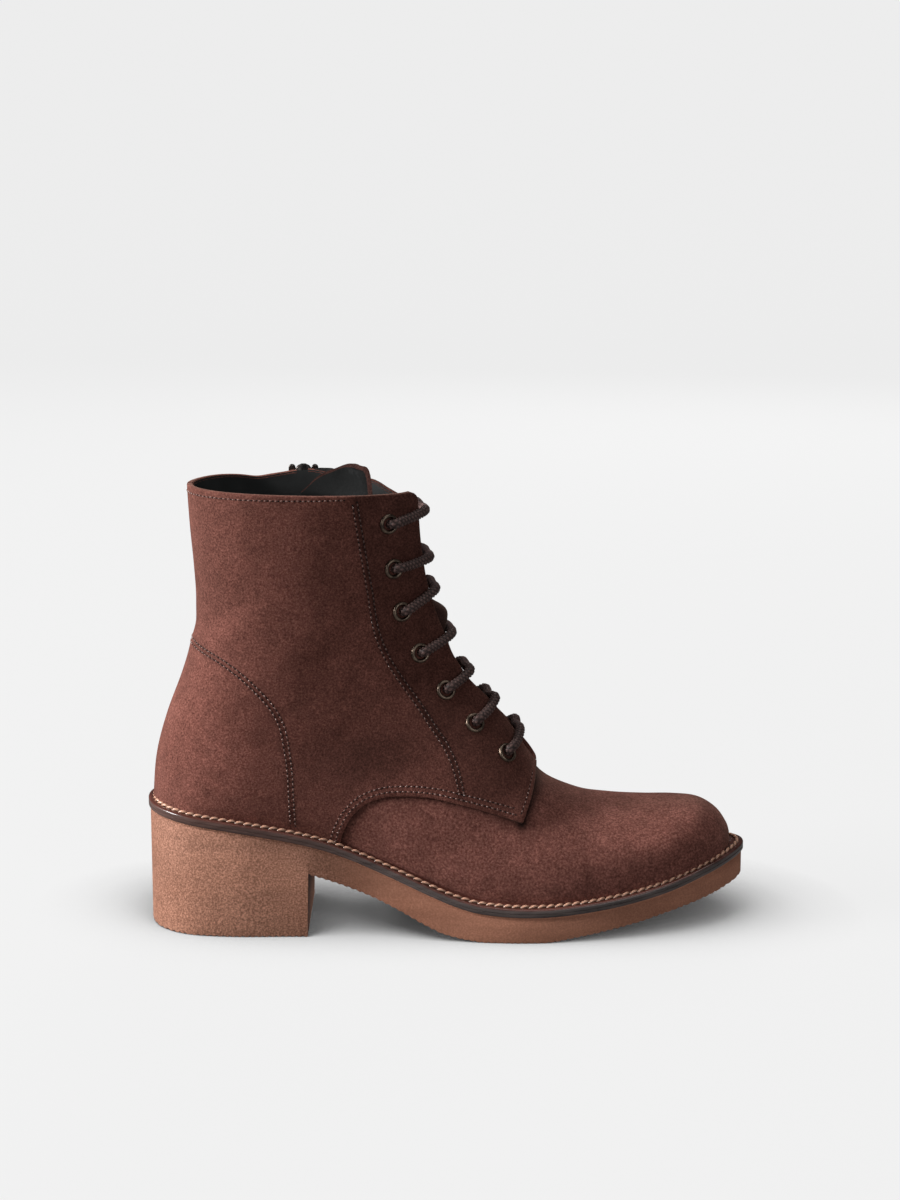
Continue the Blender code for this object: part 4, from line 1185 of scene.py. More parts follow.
def parted(faces, field):
    """Faces on the field's positive and negative sides. A quad across it is split at its zero corners."""
    values = field[faces]
    low, high = values.min(axis=1), values.max(axis=1)
    positive = [tuple(face) for face in faces[low >= 0].tolist()]
    negative = [tuple(face) for face in faces[(low < 0) & (high <= 0)].tolist()]
    for face in faces[(low < 0) & (high > 0)].tolist():
        first = 0 if field[face[0]] == 0 and field[face[2]] == 0 else 1
        turned = face[first:] + face[:first]
        for half in ((turned[0], turned[1], turned[2]), (turned[0], turned[2], turned[3])):
            (positive if sum(field[list(half)]) > 0 else negative).append(half)
    return positive, negative


def open_edges(faces):
    """Edges that only one of the faces has, in that face's direction."""
    found = set()
    for face in faces:
        for a, b in zip(face, face[1:] + face[:1]):
            if (b, a) in found:
                found.remove((b, a))
            else:
                found.add((a, b))
    return sorted(found)


def rimmed(points, normals, edges, profile):
    """Points and faces that carry an open edge on through (out, rise) steps of a profile."""
    used = np.array(sorted({v for edge in edges for v in edge}), int)
    order = {v: i for i, v in enumerate(used)}
    out = np.zeros((len(used), 3))
    for a, b in edges:
        away = np.cross(points[b] - points[a], normals[a] + normals[b])
        out[order[a]] += away
        out[order[b]] += away
    out = unit(out)
    base, normal = points[used], normals[used]
    loops = [base + reach * out + rise * normal for reach, rise in profile]
    start = len(points)
    count = len(used)
    faces = []
    for a, b in edges:
        upper = (b, a)
        for level in range(len(profile)):
            lower = tuple(start + level * count + order[v] for v in (a, b))
            faces.append((*upper, *lower))
            upper = lower[::-1]
    return np.concatenate(loops), faces


def raised_by(flat, field):
    """How far the quarter's outer face stands over the form: less at its cut edge and its flush seams."""
    trough = sum(SEAM_TROUGH * soft_line(flat, smooth_line(seam), SEAM_HALF) for seam in FLUSH_SEAMS)
    return QUARTER_STEP - EDGE_DROP * (1 - eased(field, 0, EDGE_ROUND)) + flap_lift(flat) - trough


def sorted_edges(edges, field, slit, shape, throat_from):
    """A side's open edges: faces down the quarter's cut edge, and the edges of the rim and of the slit."""
    count = len(field)
    cut_edge, rim, slit_rim = [], [], []
    for a, b in edges:
        pair = (a % count, b % count)
        rows, columns = zip(*(divmod(v, shape[1]) for v in pair))
        at_collar = min(rows) == shape[0] - 1
        at_facing = min(columns) == shape[1] - 1 and min(rows) >= throat_from
        if a >= count and all(field[v] == 0 for v in pair):
            cut_edge.append((b, a, a - count, b - count))
        elif all(slit[v] == 0 for v in pair):
            slit_rim.append((a, b))
        elif at_collar or at_facing:
            rim.append((a, b))
    return cut_edge, rim, slit_rim


def side_upper(rows, grid, normals, side):
    """One side of the upper: vamp and quarter as two levels, the quarter's edge between them, and rims."""
    shape = grid.shape[:2]
    grid, field = snapped(grid, quarter_field(side_view(grid)).reshape(shape))
    slit = np.full(shape, 1.0)
    if side == "medial":
        grid, slit = snapped(grid, zip_field(side_view(grid)).reshape(shape))
    flat = side_view(grid)
    field, slit = field.ravel(), slit.ravel()
    base, normal = grid.reshape(-1, 3), normals.reshape(-1, 3)
    levels = np.concatenate([base, base + raised_by(flat, field)[:, None] * normal])
    both = np.concatenate([normal, normal])
    count = len(base)
    quarter, vamp = parted(grid_faces(*shape, flip=side == "medial"), field)
    kept, _ = parted(np.array([face for face in quarter if len(face) == 4]), slit)
    raised = shifted(kept + [face for face in quarter if len(face) == 3], count)
    throat_from = np.searchsorted(rows, THROAT_ROW)
    cut_edge, rim, slit_rim = sorted_edges(open_edges(raised + vamp), field, slit, shape, throat_from)
    wall = WALL + QUARTER_STEP
    profile = [(out * RIM, -down * wall) for out, down in RIM_ROWS]
    profile.append((-RIM_TURN_IN[0], -wall - RIM_TURN_IN[1]))
    rim_points, rim_faces = rimmed(levels, both, rim, profile)
    slit_points, slit_faces = rimmed(levels, both, slit_rim, profile[:3])
    slit_faces = [tuple(v + len(rim_points) * (v >= len(levels)) for v in face) for face in slit_faces]
    points = np.concatenate([levels, rim_points, slit_points])
    # The tone mark: the nap's patches, the seams' dark lines and painted shade.
    tone = np.concatenate([vamp_tone(flat), nap_and_shade_tone(side_view(points[count:]))])
    return points, tone, raised + cut_edge + rim_faces + slit_faces, vamp


def make_upper(rows, grids, normals, looks):
    points, tones, quarter, vamp, start = [], [], [], [], 0
    for side in SIDES:
        side_points, tone, side_quarter, side_vamp = side_upper(rows, grids[side], normals[side], side)
        quarter += shifted(side_quarter, start)
        vamp += shifted(side_vamp, start)
        points.append(side_points)
        tones.append(tone)
        start += len(side_points)
    tip = len(points[0])
    for c in range(UPPER_COLUMNS - 1):
        vamp.append((c, c + tip, c + tip + 1, c + 1))
    points, faces = np.concatenate(points), quarter + vamp
    kinds = {"second": (looks["vamp"], len(vamp)), "marks": {"tone": np.concatenate(tones)}}
    made = piece("suede_upper", points, faces, looks["suede"], "suede", outward=False, sharp=75, **kinds)
    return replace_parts(made, "upper")


def make_lining(grids, normals, finish):
    """The lining: the wall's inner face."""
    parts = []
    for side in SIDES:
        inner = (grids[side] - WALL * normals[side])[::-LINING_SKIP, ::-LINING_SKIP][::-1, ::-1]
        faces = grid_faces(*inner.shape[:2], flip=side == "lateral")
        parts.append((inner.reshape(-1, 3), faces.tolist()))
    return piece("lining", *joined(parts), finish, "lining", outward=False)


# Seams


class Walls:
    """The form's two sides for placing seams: casts side view points onto them."""

    def __init__(self, grids):
        self.trees = {}
        for side in SIDES:
            points = grids[side].reshape(-1, 3)
            faces = grid_faces(*grids[side].shape[:2])
            self.trees[side] = BVHTree.FromPolygons(points.tolist(), faces.tolist())

    def cast(self, side, flat):
        """Points and outward normals on a side's wall for side view points, without those off the wall."""
        sign = -1 if side == "lateral" else 1
        places, outward = [], []
        for x, z in flat:
            hit, normal, _, _ = self.trees[side].ray_cast(Vector((x, sign * FAR, z)), Vector((0, -sign, 0)))
            if hit is None:
                continue
            places.append(hit)
            outward.append(normal * (1 if normal.y * sign > 0 else -1))
        return np.array(places), np.array(outward)


def beside(line, distance):
    """A side view line moved sideways, to its left where the distance is positive."""
    ahead = unit(np.gradient(line, axis=0))
    return line + distance * np.column_stack([-ahead[:, 1], ahead[:, 0]])


def on_quarter(points, outward, slant=0.0):
    """A stitched row on the quarter's outer face, from one on the form."""
    return points + QUARTER_STEP * outward, outward, slant


def seam_lines(walls, grids, normals):
    """Every stitched row of the upper as (points, normals, slant of its stitches) on its outer face."""
    flat_lines = []
    for seam in FLUSH_SEAMS:
        line = smooth_line(seam, SEAM_STEP)
        flat_lines += [beside(line, STITCH_ROWS), beside(line, -STITCH_ROWS)[STITCH_STAGGER:]]
    for edge, inset, first, last in EDGE_SEAM_ROWS:
        flat_lines.append(beside(smooth_line(edge, SEAM_STEP), inset)[first:last])
    found = []
    for side in SIDES:
        for flat in flat_lines:
            points, outward = walls.cast(side, flat[quarter_field(flat) > SEAM_CLEAR])
            found.append(on_quarter(points + flap_lift(side_view(points))[:, None] * outward, outward))
        found.append(on_quarter(*topline(grids[side], normals[side]), TOPLINE_SLANT))
    for offset in (-STITCH_ROWS, STITCH_ROWS):
        found.append(on_quarter(*back_line(grids, normals, COUNTER_SEAM[0][1] + offset)))
    slit = spaced(np.array([ZIP_TOP, ZIP_FOOT]), SEAM_STEP)
    for sign in (-1, 1):
        flat = beside(slit, sign * (ZIP_SLIT / 2 + ZIP_STITCH_REACH))
        found.append(on_quarter(*walls.cast("medial", flat[flat[:, 1] < ZIP_STITCH_TOP])))
    return found


def back_line(grids, normals, height):
    """A level line round the back of the shaft, between the ends of the counter's seam on the two sides."""
    ends = {}
    for side in SIDES:
        points, outward = [], []
        for c in range(UPPER_COLUMNS):
            upwards = slice(int(np.argmin(grids[side][:, c, 0])), None)
            column = grids[side][upwards, c]
            place = read_at(height, column[:, 2], column)
            if place[0] > COUNTER_SEAM[0][0]:
                break
            points.append(place)
            outward.append(read_at(height, column[:, 2], normals[side][upwards, c]))
        ends[side] = np.array(points), np.array(outward)
    return tuple(np.concatenate([a[::-1], b[1:]]) for a, b in zip(ends["lateral"], ends["medial"]))


def topline(grid, normals):
    """The row of stitches under the collar, on one side, up to the eyestay seam."""
    points, outward = [], []
    for c in range(UPPER_COLUMNS):
        column = grid[-TOPLINE_SEARCH:, c][::-1]
        run = run_of(column)
        i = int(np.clip(np.searchsorted(run, TOPLINE_DROP), 1, TOPLINE_SEARCH - 1))
        points.append(read_at(TOPLINE_DROP, run, column))
        outward.append(normals[-1 - i, c])
    points, outward = np.array(points), np.array(outward)
    keep = points[:, 0] < EYESTAY_SEAM[0][0] - TOPLINE_SHORT
    return points[keep], outward[keep]


def stitch_places(lines, pitch):
    """Middle and end places of the stitches along the lines, as frames."""
    middles, ends = [], []
    for line, outward, slant in lines:
        run = run_of(line)
        count = int(run[-1] / pitch)
        if count < 2:
            continue
        ahead = unit(np.gradient(line, axis=0))
        turn = math.radians(slant)
        for found, steps in ((middles, np.arange(count) + 0.5), (ends, np.arange(count + 1))):
            at = steps * pitch
            along = unit(read_at(at, run, ahead))
            up = unit(read_at(at, run, outward))
            slanted = math.cos(turn) * along + math.sin(turn) * unit(np.cross(up, along))
            found.append((read_at(at, run, line), slanted, unit(np.cross(up, slanted)), up))
    return [tuple(np.concatenate(parts) for parts in zip(*found)) for found in (middles, ends)]


def make_seams(walls, grids, normals, looks):
    """Stitches of the upper, a little sunk in, and the needle holes between them as near-black discs of
    painted shade.
    """
    middles, ends = stitch_places(seam_lines(walls, grids, normals), STITCH_PITCH)
    origin, along, across, up = middles
    stitch = bead(STITCH_LENGTH * STITCH_PITCH, STITCH_RADIUS)
    points, faces = repeated((origin - STITCH_SINK * up, along, across, up), *stitch)
    # The stitches take the quarter's tone mark, painted shade included.
    marks = {"tone": nap_and_shade_tone(side_view(points))}
    piece("upper_stitches", points, faces, looks["thread"], "suede", outward=False, sharp=80, marks=marks)
    origin, along, across, up = ends
    points, faces = repeated((origin + HOLE_RISE * up, along, across, up), *disc(HOLE_RADIUS, HOLE_CROWN))
    piece("needle_holes", points, faces, looks["hole"], "suede", outward=False, sharp=80)


# Sole and welt


def outline_loop(angles, inset=0.0):
    """Plan points of the welt's outline, moved in. Angles over 180 come back along the medial side."""
    angles = np.asarray(angles, float)
    half = np.where(angles <= 180, angles, 360 - angles)
    lateral, medial = (flowing(OUTLINE["angle"], OUTLINE[side], half) for side in SIDES)
    along = -SOLE_LENGTH / 2 * np.cos(np.radians(half))
    loop = np.stack([along, np.where(angles <= 180, lateral, medial)], axis=1)
    ahead = np.roll(loop, -1, axis=0) - np.roll(loop, 1, axis=0)
    return loop + inset * unit(np.stack([-ahead[:, 1], ahead[:, 0]], axis=1))


def station_angles(step):
    """Angles of points at even steps along the lateral outline, with a pair at the heel's breast."""
    dense = np.linspace(0, 180, SOLE_SAMPLES)
    run = run_of(outline_loop(dense))
    even = np.interp(np.linspace(0, run[-1], round(run[-1] / step)), run, dense)
    breast = [math.degrees(math.acos(-2 * x / SOLE_LENGTH)) for x in (BREAST_BACK, BREAST_FRONT)]
    clear = [a for a in even if min(abs(a - b) for b in breast) > BREAST_CLEAR]
    return np.sort(np.array(clear + breast))


def ground_height(along):
    """The sole's lower face: the floor under the heel, and the underside ahead of its breast."""
    return np.where(along < BREAST_MIDDLE, 0.0, steady(UNDERSIDE["along"], UNDERSIDE["height"], along))


def paired_faces(start, count):
    """Faces that fill a loop whose point i lies across from point count - i."""
    faces = []
    for i in range(count // 2):
        face = (start + i, start + i + 1, start + (count - i - 1) % count, start + (count - i) % count)
        faces.append(tuple(dict.fromkeys(face)))
    return faces


def make_outsole(finish):
    half = station_angles(SOLE_STEP)
    angles = np.concatenate([half, 360 - half[-2:0:-1]])
    count = len(angles)
    along = outline_loop(angles)[:, 0]
    floor, top = ground_height(along), joint_height(along)
    tread = TREAD_DEPTH * ((along / TREAD_PITCH) % 1.0 < TREAD_CUT)
    lower = []
    for inset, rise, cut in SIDE_FOOT_ROWS:
        lower.append((inset * SOLE_ROUND, floor + rise * SOLE_ROUND + cut * tread))
    lower.append((0.0, (floor + top) / 2))
    levels = lower + [(inset, top - drop) for inset, drop in SIDE_TOP_ROWS] + [(WELT_WIDTH, top)]
    loops = [np.column_stack([outline_loop(angles, WELT_REACH + inset), height]) for inset, height in levels]
    points, faces = stacked_loops(loops)
    faces += [face[::-1] for face in paired_faces(0, count)]
    faces += paired_faces(count * (len(loops) - 1), count)
    edges = [False] * len(lower) + [drop <= SIDE_EDGE_DROP for _, drop in SIDE_TOP_ROWS] + [False]
    lowest = np.arange(len(points)) < count
    breast = lowest & (np.abs(points[:, 0] - BREAST_MIDDLE) < BREAST_HALF)
    # The tone mark: the patches, a painted highlight along the side's upper edge and painted shade on the
    # heel's breast.
    tone = 1 + soft_patches(side_view(points), SOLE_TONES)
    tone += SIDE_EDGE_HIGHLIGHT * np.repeat(edges, count) - BREAST_SHADE * breast
    heel = 1 - eased(points[:, 0], BREAST_BACK, BREAST_BACK + HEEL_FADE)
    marks = {"tone": tone, "stipple": SOLE_STIPPLE + (1 - SOLE_STIPPLE) * heel}
    made = piece("rubber_sole", points, faces, finish, "rubber", sharp=50, marks=marks)
    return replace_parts(made, "outsole")


def make_welt(finish):
    angles = np.linspace(0, 360, WELT_STATIONS, endpoint=False)
    profile = WELT_ROWS + WELT_ROWS[:1]
    loops = []
    for inset, rise in profile:
        flat = outline_loop(angles, inset)
        loops.append(np.column_stack([flat, joint_height(flat[:, 0]) + rise]))
    points, faces = stacked_loops(loops)
    waxed = [float(inset > WELT_LIP[0] and rise > WELT_LIP[1]) for inset, rise in profile]
    marks = {"tone": np.repeat(waxed, len(angles)), "heel": 1 - eased(points[:, 0], *WELT_HEEL_FADE)}
    made = piece("stitched_welt", points, faces, finish, "welt_leather", sharp=50, marks=marks)
    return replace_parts(made, "welt")


def make_welt_stitches(finish):
    """Slanted stitches along the welt's top, with painted shade low down in their groove and a painted
    highlight higher up.
    """
    flat = outline_loop(np.linspace(0, 360, 2 * WELT_STATIONS), WELT_STITCH_INSET)
    line = np.column_stack([flat, joint_height(flat[:, 0]) + WELT_STITCH_RISE])
    outward = np.cross(unit(np.gradient(line, axis=0)), (0, 0, 1))
    slope = unit(WELT_STITCH_LEAN * outward + (0.0, 0.0, 1.0))
    places, _ = stitch_places([(line, slope, WELT_STITCH_SLANT)], WELT_STITCH_PITCH)
    length = WELT_STITCH_LENGTH * WELT_STITCH_PITCH
    shape, sides = bead(length, WELT_STITCH_RADIUS, WELT_STITCH_SIDES, WELT_STITCH_DIVE)
    points, faces = repeated(places, shape, sides)
    low, more = WELT_STITCH_SHADING
    tone = low + more * eased(shape[:, 2], *WELT_STITCH_HEIGHTS)
    marks = {"tone": np.tile(tone, len(places[0]))}
    piece("welt_stitches", points, faces, finish, "welt_leather", outward=False, sharp=80, marks=marks)


# Tongue


def ridge_points(rows, distances, offsets):
    """Points at distances from the ridge along each section, lateral negative, moved by the offsets."""
    found = np.empty((len(rows), distances.shape[1], 3))
    for side in SIDES:
        points, length = half_sections(rows, side, COARSE_SAMPLES)
        here = at_lengths(points, length, length[:, -1:] - np.abs(distances))
        pick = distances < 0 if side == "lateral" else distances >= 0
        found[pick] = here[pick]
    normals = unit(np.cross(np.gradient(found, axis=1), np.gradient(found, axis=0)))
    return found + offsets[:, :, None] * normals


def tongue_skin(rows, offset):
    """The tongue's face at this offset, on even rows, before its top is cut."""
    at = {name: steady(TONGUE["row"], values, rows)[:, None] for name, values in TONGUE.items()}
    across = np.linspace(-1, 1, TONGUE_ACROSS)[None, :]
    ridge = form_at(rows)["ridge_z"][:, None]
    swell = TONGUE_BULGE * np.exp(-(((ridge - TONGUE_BULGE_HEIGHT) / TONGUE_BULGE_HALF) ** 2))
    pressed = offset - (at["sink"] - swell) * (1 - across**2)
    skin = ridge_points(rows, at["half_width"] * across, pressed)
    centre = skin[:, TONGUE_ACROSS // 2][:, None, :]
    away = skin - centre
    back = away[..., 0] * (1 - at["flat"])
    side = away[..., 1] * (1 + TONGUE_SPREAD * at["flat"])
    turn = np.radians(at["turn"])
    return centre + np.stack(
        [
            back * np.cos(turn) - side * np.sin(turn) - at["lean"],
            back * np.sin(turn) + side * np.cos(turn) + at["drift"],
            away[..., 2],
        ],
        axis=2,
    )


def topped(skin, rows, short):
    """The tongue's face with each column ending at the top edge, or short of it by some form rows."""
    top = flowing(TONGUE_TOP["across"], TONGUE_TOP["row"], np.linspace(-1, 1, TONGUE_ACROSS)) - short
    columns = []
    for c, end in enumerate(top):
        columns.append(read_at(np.linspace(rows[0], end, TONGUE_ALONG), rows, skin[:, c]))
    return np.stack(columns, axis=1)


def plate(skins):
    """Points and faces of a closed plate between an outer and an inner grid."""
    rows, columns = skins[0].shape[:2]
    layer = rows * columns
    outer = grid_faces(rows, columns, flip=True)
    faces = outer.tolist() + (outer[:, ::-1] + layer).tolist()
    rim = list(range(columns))
    rim += [r * columns + columns - 1 for r in range(1, rows)]
    rim += [(rows - 1) * columns + c for c in range(columns - 2, -1, -1)]
    rim += [r * columns for r in range(rows - 2, 0, -1)]
    for a, b in zip(rim, rim[1:] + rim[:1]):
        faces.append((a, b, layer + b, layer + a))
    return np.concatenate([skin.reshape(-1, 3) for skin in skins]), faces


def make_tongue(looks):
    """The tongue's suede over its lining, which ends a little short of its top edge."""
    rows = np.linspace(TONGUE["row"][0], TONGUE["row"][-1], TONGUE_SAMPLES)
    top = -WALL - TONGUE_CLEAR
    foot = top - TONGUE_THICKNESS
    between = top - TONGUE_SUEDE_SHARE * TONGUE_THICKNESS
    layers = (
        ("suede_tongue", (top, between), 0.0, "tongue", "suede"),
        ("tongue_lining", (between, foot), TONGUE_LINING_SHORT, "tongue_lining", "lining"),
    )
    for name, offsets, short, finish, slot in layers:
        skins = [topped(tongue_skin(rows, offset), rows, short) for offset in offsets]
        made = piece(name, *plate(skins), looks[finish], slot, sharp=60)
        if slot == "suede":
            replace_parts(made, "tongue")


# Eyelets and lace


def facing_place(side, height, inset, rise):
    """A point on the facing, set in from its edge, with the outward normal and the way to the edge."""
    rows = np.linspace(THROAT_ROW + THROAT_ROUND / 2, COLLAR_ROW, FACING_SAMPLES)
    points, length = half_sections(rows, side, COARSE_SAMPLES)
    edge = edge_length(points, length, rows, side)
    line = at_lengths(points, length, (edge - inset)[:, None] + np.array([[-1.0, 0.0, 1.0]]))
    heights = line[:, 1, 2]
    spot = read_at(height, heights, line[:, 1])
    i = int(np.clip(round(np.interp(height, heights, np.arange(len(rows)))), 1, len(rows) - 2))
    to_edge = line[i, 2] - line[i, 0]
    along = line[i + 1, 1] - line[i - 1, 1]
    normal = unit(np.cross(to_edge, along) if side == "lateral" else np.cross(along, to_edge))
    return spot + rise * normal, normal, unit(to_edge)


def make_eyelets(finish):
    """Rolled eyelets: a round flange on the facing and a barrel through it."""
    bore, rim = EYELET_INNER / 2, EYELET_OUTER / 2
    middle, half = (bore + rim) / 2, (rim - bore) / 2
    foot, roll = EYELET_ROLL
    inner, outer = (bore + face for face in EYELET_BARREL)
    profile = [(inner, -EYELET_DEPTH), (outer, -EYELET_DEPTH), (outer, 0.0), (rim, 0.0)]
    profile += [(middle + half * math.cos(t), foot + roll * math.sin(t)) for t in np.linspace(0, math.pi, 9)]
    profile.append(profile[0])
    turn = turns(EYELET_SIDES)[:, None]
    for side in SIDES:
        for i in range(PAIRS):
            height, inset = EYELETS["height"][i], EYELETS["inset"][i]
            spot, normal, to_edge = facing_place(side, height, inset, QUARTER_STEP)
            circle = np.cos(turn) * to_edge + np.sin(turn) * np.cross(normal, to_edge)
            loops = [spot + radius * circle + rise * normal for radius, rise in profile]
            name = f"{side}_{i + 1}"
            made = piece(f"rolled_eyelet_{name}", *stacked_loops(loops), finish, "eyelet_metal", sharp=60)
            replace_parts(made, f"eyelet_{name}")


def bar_half(side, pair):
    """The lace's way from inside an eyelet out over the facing to its edge, and the way out there."""
    spot, normal, to_edge = facing_place(side, pair["height"], pair["inset"], QUARTER_STEP)
    run = [spot - (QUARTER_STEP + LACE_INSIDE) * normal]
    run += [spot + rise * normal + ahead * to_edge for rise, ahead in LACE_IN_EYELET]
    for share in LACE_SHARES:
        height = pair["height"] + share * pair["rise"]
        place, outward, _ = facing_place(side, height, (1 - share) * pair["inset"], QUARTER_STEP)
        run.append(place + (LACE_OVER_FACING + LACE_DIAMETER / 2) * outward)
    return run, outward


def lace_bar(number):
    """Points of one bar from inside the lateral eyelet to inside the medial one."""
    pair = {name: values[number - 1] for name, values in EYELETS.items()}
    (lateral, lateral_out), (medial, medial_out) = (bar_half(side, pair) for side in SIDES)
    outward = unit(lateral_out + medial_out)
    middle = (lateral[-1] + medial[-1]) / 2 - pair["sink"] * outward
    return lateral + [middle] + medial[::-1]


def hidden_run(side, heights, inset):
    """Points of the lace under a facing."""
    return [facing_place(side, height, inset, -LACE_INSIDE)[0] for height in heights]


def lace_route():
    """The whole lace: bars from the top down, joined by short runs under the facings, and back up inside."""
    route = []
    for number in range(1, PAIRS + 1):
        bar = lace_bar(number)
        route += bar if number % 2 else bar[::-1]
        if number < PAIRS:
            side = "medial" if number % 2 else "lateral"
            heights = EYELETS["height"][number - 1 : number + 1]
            inset = EYELETS["inset"][number - 1 : number + 1].mean()
            route += hidden_run(side, [heights.mean()], inset)
    foot, top = EYELETS["height"][-1], EYELETS["height"][0]
    inset = EYELETS["inset"][-1] + LACE_RETURN
    heights = np.linspace(foot + LACE_RETURN_START, top, LACE_RETURN_POINTS)
    return np.array(route + hidden_run("medial", heights, inset))


def braid(run, turn):
    """Relief of the braided cord: strands that wind both ways, from 0 in their grooves to 1."""
    share = 1.0
    for sign in (-1, 1):
        strand = LACE_STRANDS * (turn / (2 * math.pi) + sign * run / LACE_LAY)
        share = np.minimum(share, eased(np.abs(strand - np.round(strand)), *LACE_GROOVE))
    return share


def make_lace(finish):
    line = smooth_line(lace_route(), LACE_STEP)
    ahead = unit(np.gradient(line, axis=0))
    across = np.empty_like(line)
    side = np.cross(ahead[0], (0.0, 0.0, 1.0))
    for i, way in enumerate(ahead):
        side = unit(side - (side @ way) * way)
        across[i] = side
    turn = turns(LACE_SIDES)[None, :]
    strand = braid(run_of(line)[:, None], turn)
    radius = LACE_DIAMETER / 2 + LACE_RELIEF * (strand - LACE_MEAN)
    up = np.cross(ahead, across)
    ring = np.cos(turn)[..., None] * across[:, None] + np.sin(turn)[..., None] * up[:, None]
    loops = line[:, None] + radius[..., None] * ring
    # Painted shade in the braid's grooves and painted light on its strands, as the tone mark
    groove, top = LACE_SHADING
    marks = {"tone": (groove + (top - groove) * strand).ravel()}
    made = piece("lace", *capped(loops), finish, "lace", sharp=80, marks=marks)
    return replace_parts(made, *[f"lace_bar_{number}" for number in range(1, PAIRS + 1)])


# Zip


def zip_frames(walls, step, top_height):
    """Places along the zip as (origin, along, across, up) arrays, from the collar down."""
    flat = spaced(np.array([ZIP_TOP, ZIP_FOOT]), step)
    flat = flat[flat[:, 1] < top_height]
    points, up = walls.cast("medial", flat)
    ahead = unit(np.gradient(points, axis=0))
    return points, ahead, unit(np.cross(up, ahead)), up


def make_zip_teeth(walls, hinge, finish):
    """The chain's teeth, which point to either side in turn, and the end stops beside the slider."""
    shape = np.array([(x * half, y, z) for z, half, *ends in TOOTH_ROWS for x in (-1, 1) for y in ends])
    faces = [(0, 1, 3, 2), (4, 6, 7, 5), (0, 4, 5, 1), (2, 3, 7, 6), (0, 2, 6, 4), (1, 5, 7, 3)]
    origin, along, across, up = zip_frames(walls, ZIP_PITCH / 2, TOOTH_TOP)
    sign = np.where(np.arange(len(origin)) % 2, 1.0, -1.0)[:, None]
    chain = repeated((origin, along * sign, across * sign, up), shape, faces)
    wide, deep, tall = STOP_SIZE
    stop = rounded_plate(capsule_outline(0.0, -tall, wide / 2, wide / 2), -deep / 2, deep / 2, STOP_BEVEL)
    middle = hinge + (0.0, -HINGE_REACH - SLIDER_SIZE[1] / 2, HINGE_DROP)
    stops = [moved(stop, middle + (way * STOP_REACH, 0.0, -STOP_DROP)) for way in (-1, 1)]
    made = piece("zip_teeth", *joined([chain, *stops]), finish, "zip_metal", outward=False, sharp=30)
    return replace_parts(made, "zip_chain")


def tape_end(walls):
    """The end of the front tape, folded over and standing just over the collar."""
    along = np.linspace(*TAPE_END, TAPE_END_STATIONS)
    foot, outward = walls.cast("medial", np.column_stack([along, np.full(len(along), TAPE_END_FOOT)]))
    height = TAPE_END_TOP - TAPE_END_FOOT - TAPE_END_ROUND * np.linspace(-1, 1, len(foot)) ** 6
    rise = height[:, None] * (0, 0, 1)
    near, far = (foot + depth * outward for depth in TAPE_END_DEPTHS)
    return capped(np.stack([near, far, far + rise, near + rise], axis=1))


def make_zip_tapes(walls, finish):
    origin, _, across, up = zip_frames(walls, TAPE_STEP, TAPE_TOP)
    (near, far), (top, under) = TAPE_REACH, TAPE_DEPTHS
    section = ((near, top), (far, top), (far, under), (near, under))
    parts = []
    for sign in (-1, 1):
        loops = [origin + sign * reach * across + rise * up for reach, rise in section]
        parts.append(capped(np.stack(loops, axis=1)))
    return piece("zip_tapes", *joined([*parts, tape_end(walls)]), finish, "lining")


def upright(flat, depth):
    """An (x, z) outline as points at this depth across the boot."""
    return np.column_stack([flat[:, 0], np.full(len(flat), depth), flat[:, 1]])


def rounded_plate(outline, near, far, bevel):
    """A plate across the boot between two depths from an (x, z) outline, with its edges bevelled."""
    wide = np.array(outline)
    centre = wide.mean(axis=0)
    small = centre + (wide - centre) * (1 - 2 * bevel / np.ptp(wide, axis=0).max())
    steps = ((small, near), (wide, near + bevel), (wide, far - bevel), (small, far))
    return capped([upright(flat, depth) for flat, depth in steps])


def capsule_outline(top, foot, half_top, half_foot, steps=8):
    """An (x, z) outline with round ends, between two heights."""
    turn = np.linspace(0, math.pi, steps)
    upper = [(half_top * math.cos(t), top - half_top + half_top * math.sin(t)) for t in turn]
    lower = [(-half_foot * math.cos(t), foot + half_foot - half_foot * math.sin(t)) for t in turn]
    return upper + lower


def turned_loops(profile, sides):
    """Loops about X through the (along, radius) steps of a profile."""
    turn = turns(sides)
    ring = np.column_stack([np.zeros(sides), np.cos(turn), np.sin(turn)])
    return [radius * ring + (along, 0, 0) for along, radius in profile]


def round_bar(radius, length, sides=16):
    """A round bar along X about the origin, with its ends a little rounded."""
    ends = ((-0.5, 0.8), (-0.46, 1.0), (0.46, 1.0), (0.5, 0.8))
    return capped(turned_loops([(share * length, size * radius) for share, size in ends], sides))


def make_zip_slider(hinge, finish):
    """The slider: a crowned plate, two ears and the pin between them."""
    wide, deep, tall = SLIDER_SIZE
    outline = capsule_outline(HINGE_DROP, HINGE_DROP - tall, wide / 2, SLIDER_FOOT * wide)
    outline = [(x, min(z, HINGE_DROP - SLIDER_CROWN * abs(2 * x / wide) ** 4)) for x, z in outline]
    parts = [rounded_plate(outline, -HINGE_REACH - deep, -HINGE_REACH, SLIDER_BEVEL)]
    span = 2 * (EYE_HALF + GAP)
    half = EAR_THICKNESS / 2
    ear, faces = rounded_plate(capsule_outline(*EAR_ENDS, EAR_HALF, EAR_HALF), -half, half, EAR_BEVEL)
    turned = np.column_stack([ear[:, 1], ear[:, 0] - EAR_BACK, ear[:, 2]])
    for sign in (-1, 1):
        parts.append(moved((turned, faces), (sign * (span / 2 + half), 0, 0)))
    parts.append(round_bar(PIN_DIAMETER / 2, span + PIN_OVER))
    made = piece("slider_body", *moved(joined(parts), hinge), finish, "zip_metal", sharp=45)
    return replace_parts(made, "zip_slider")


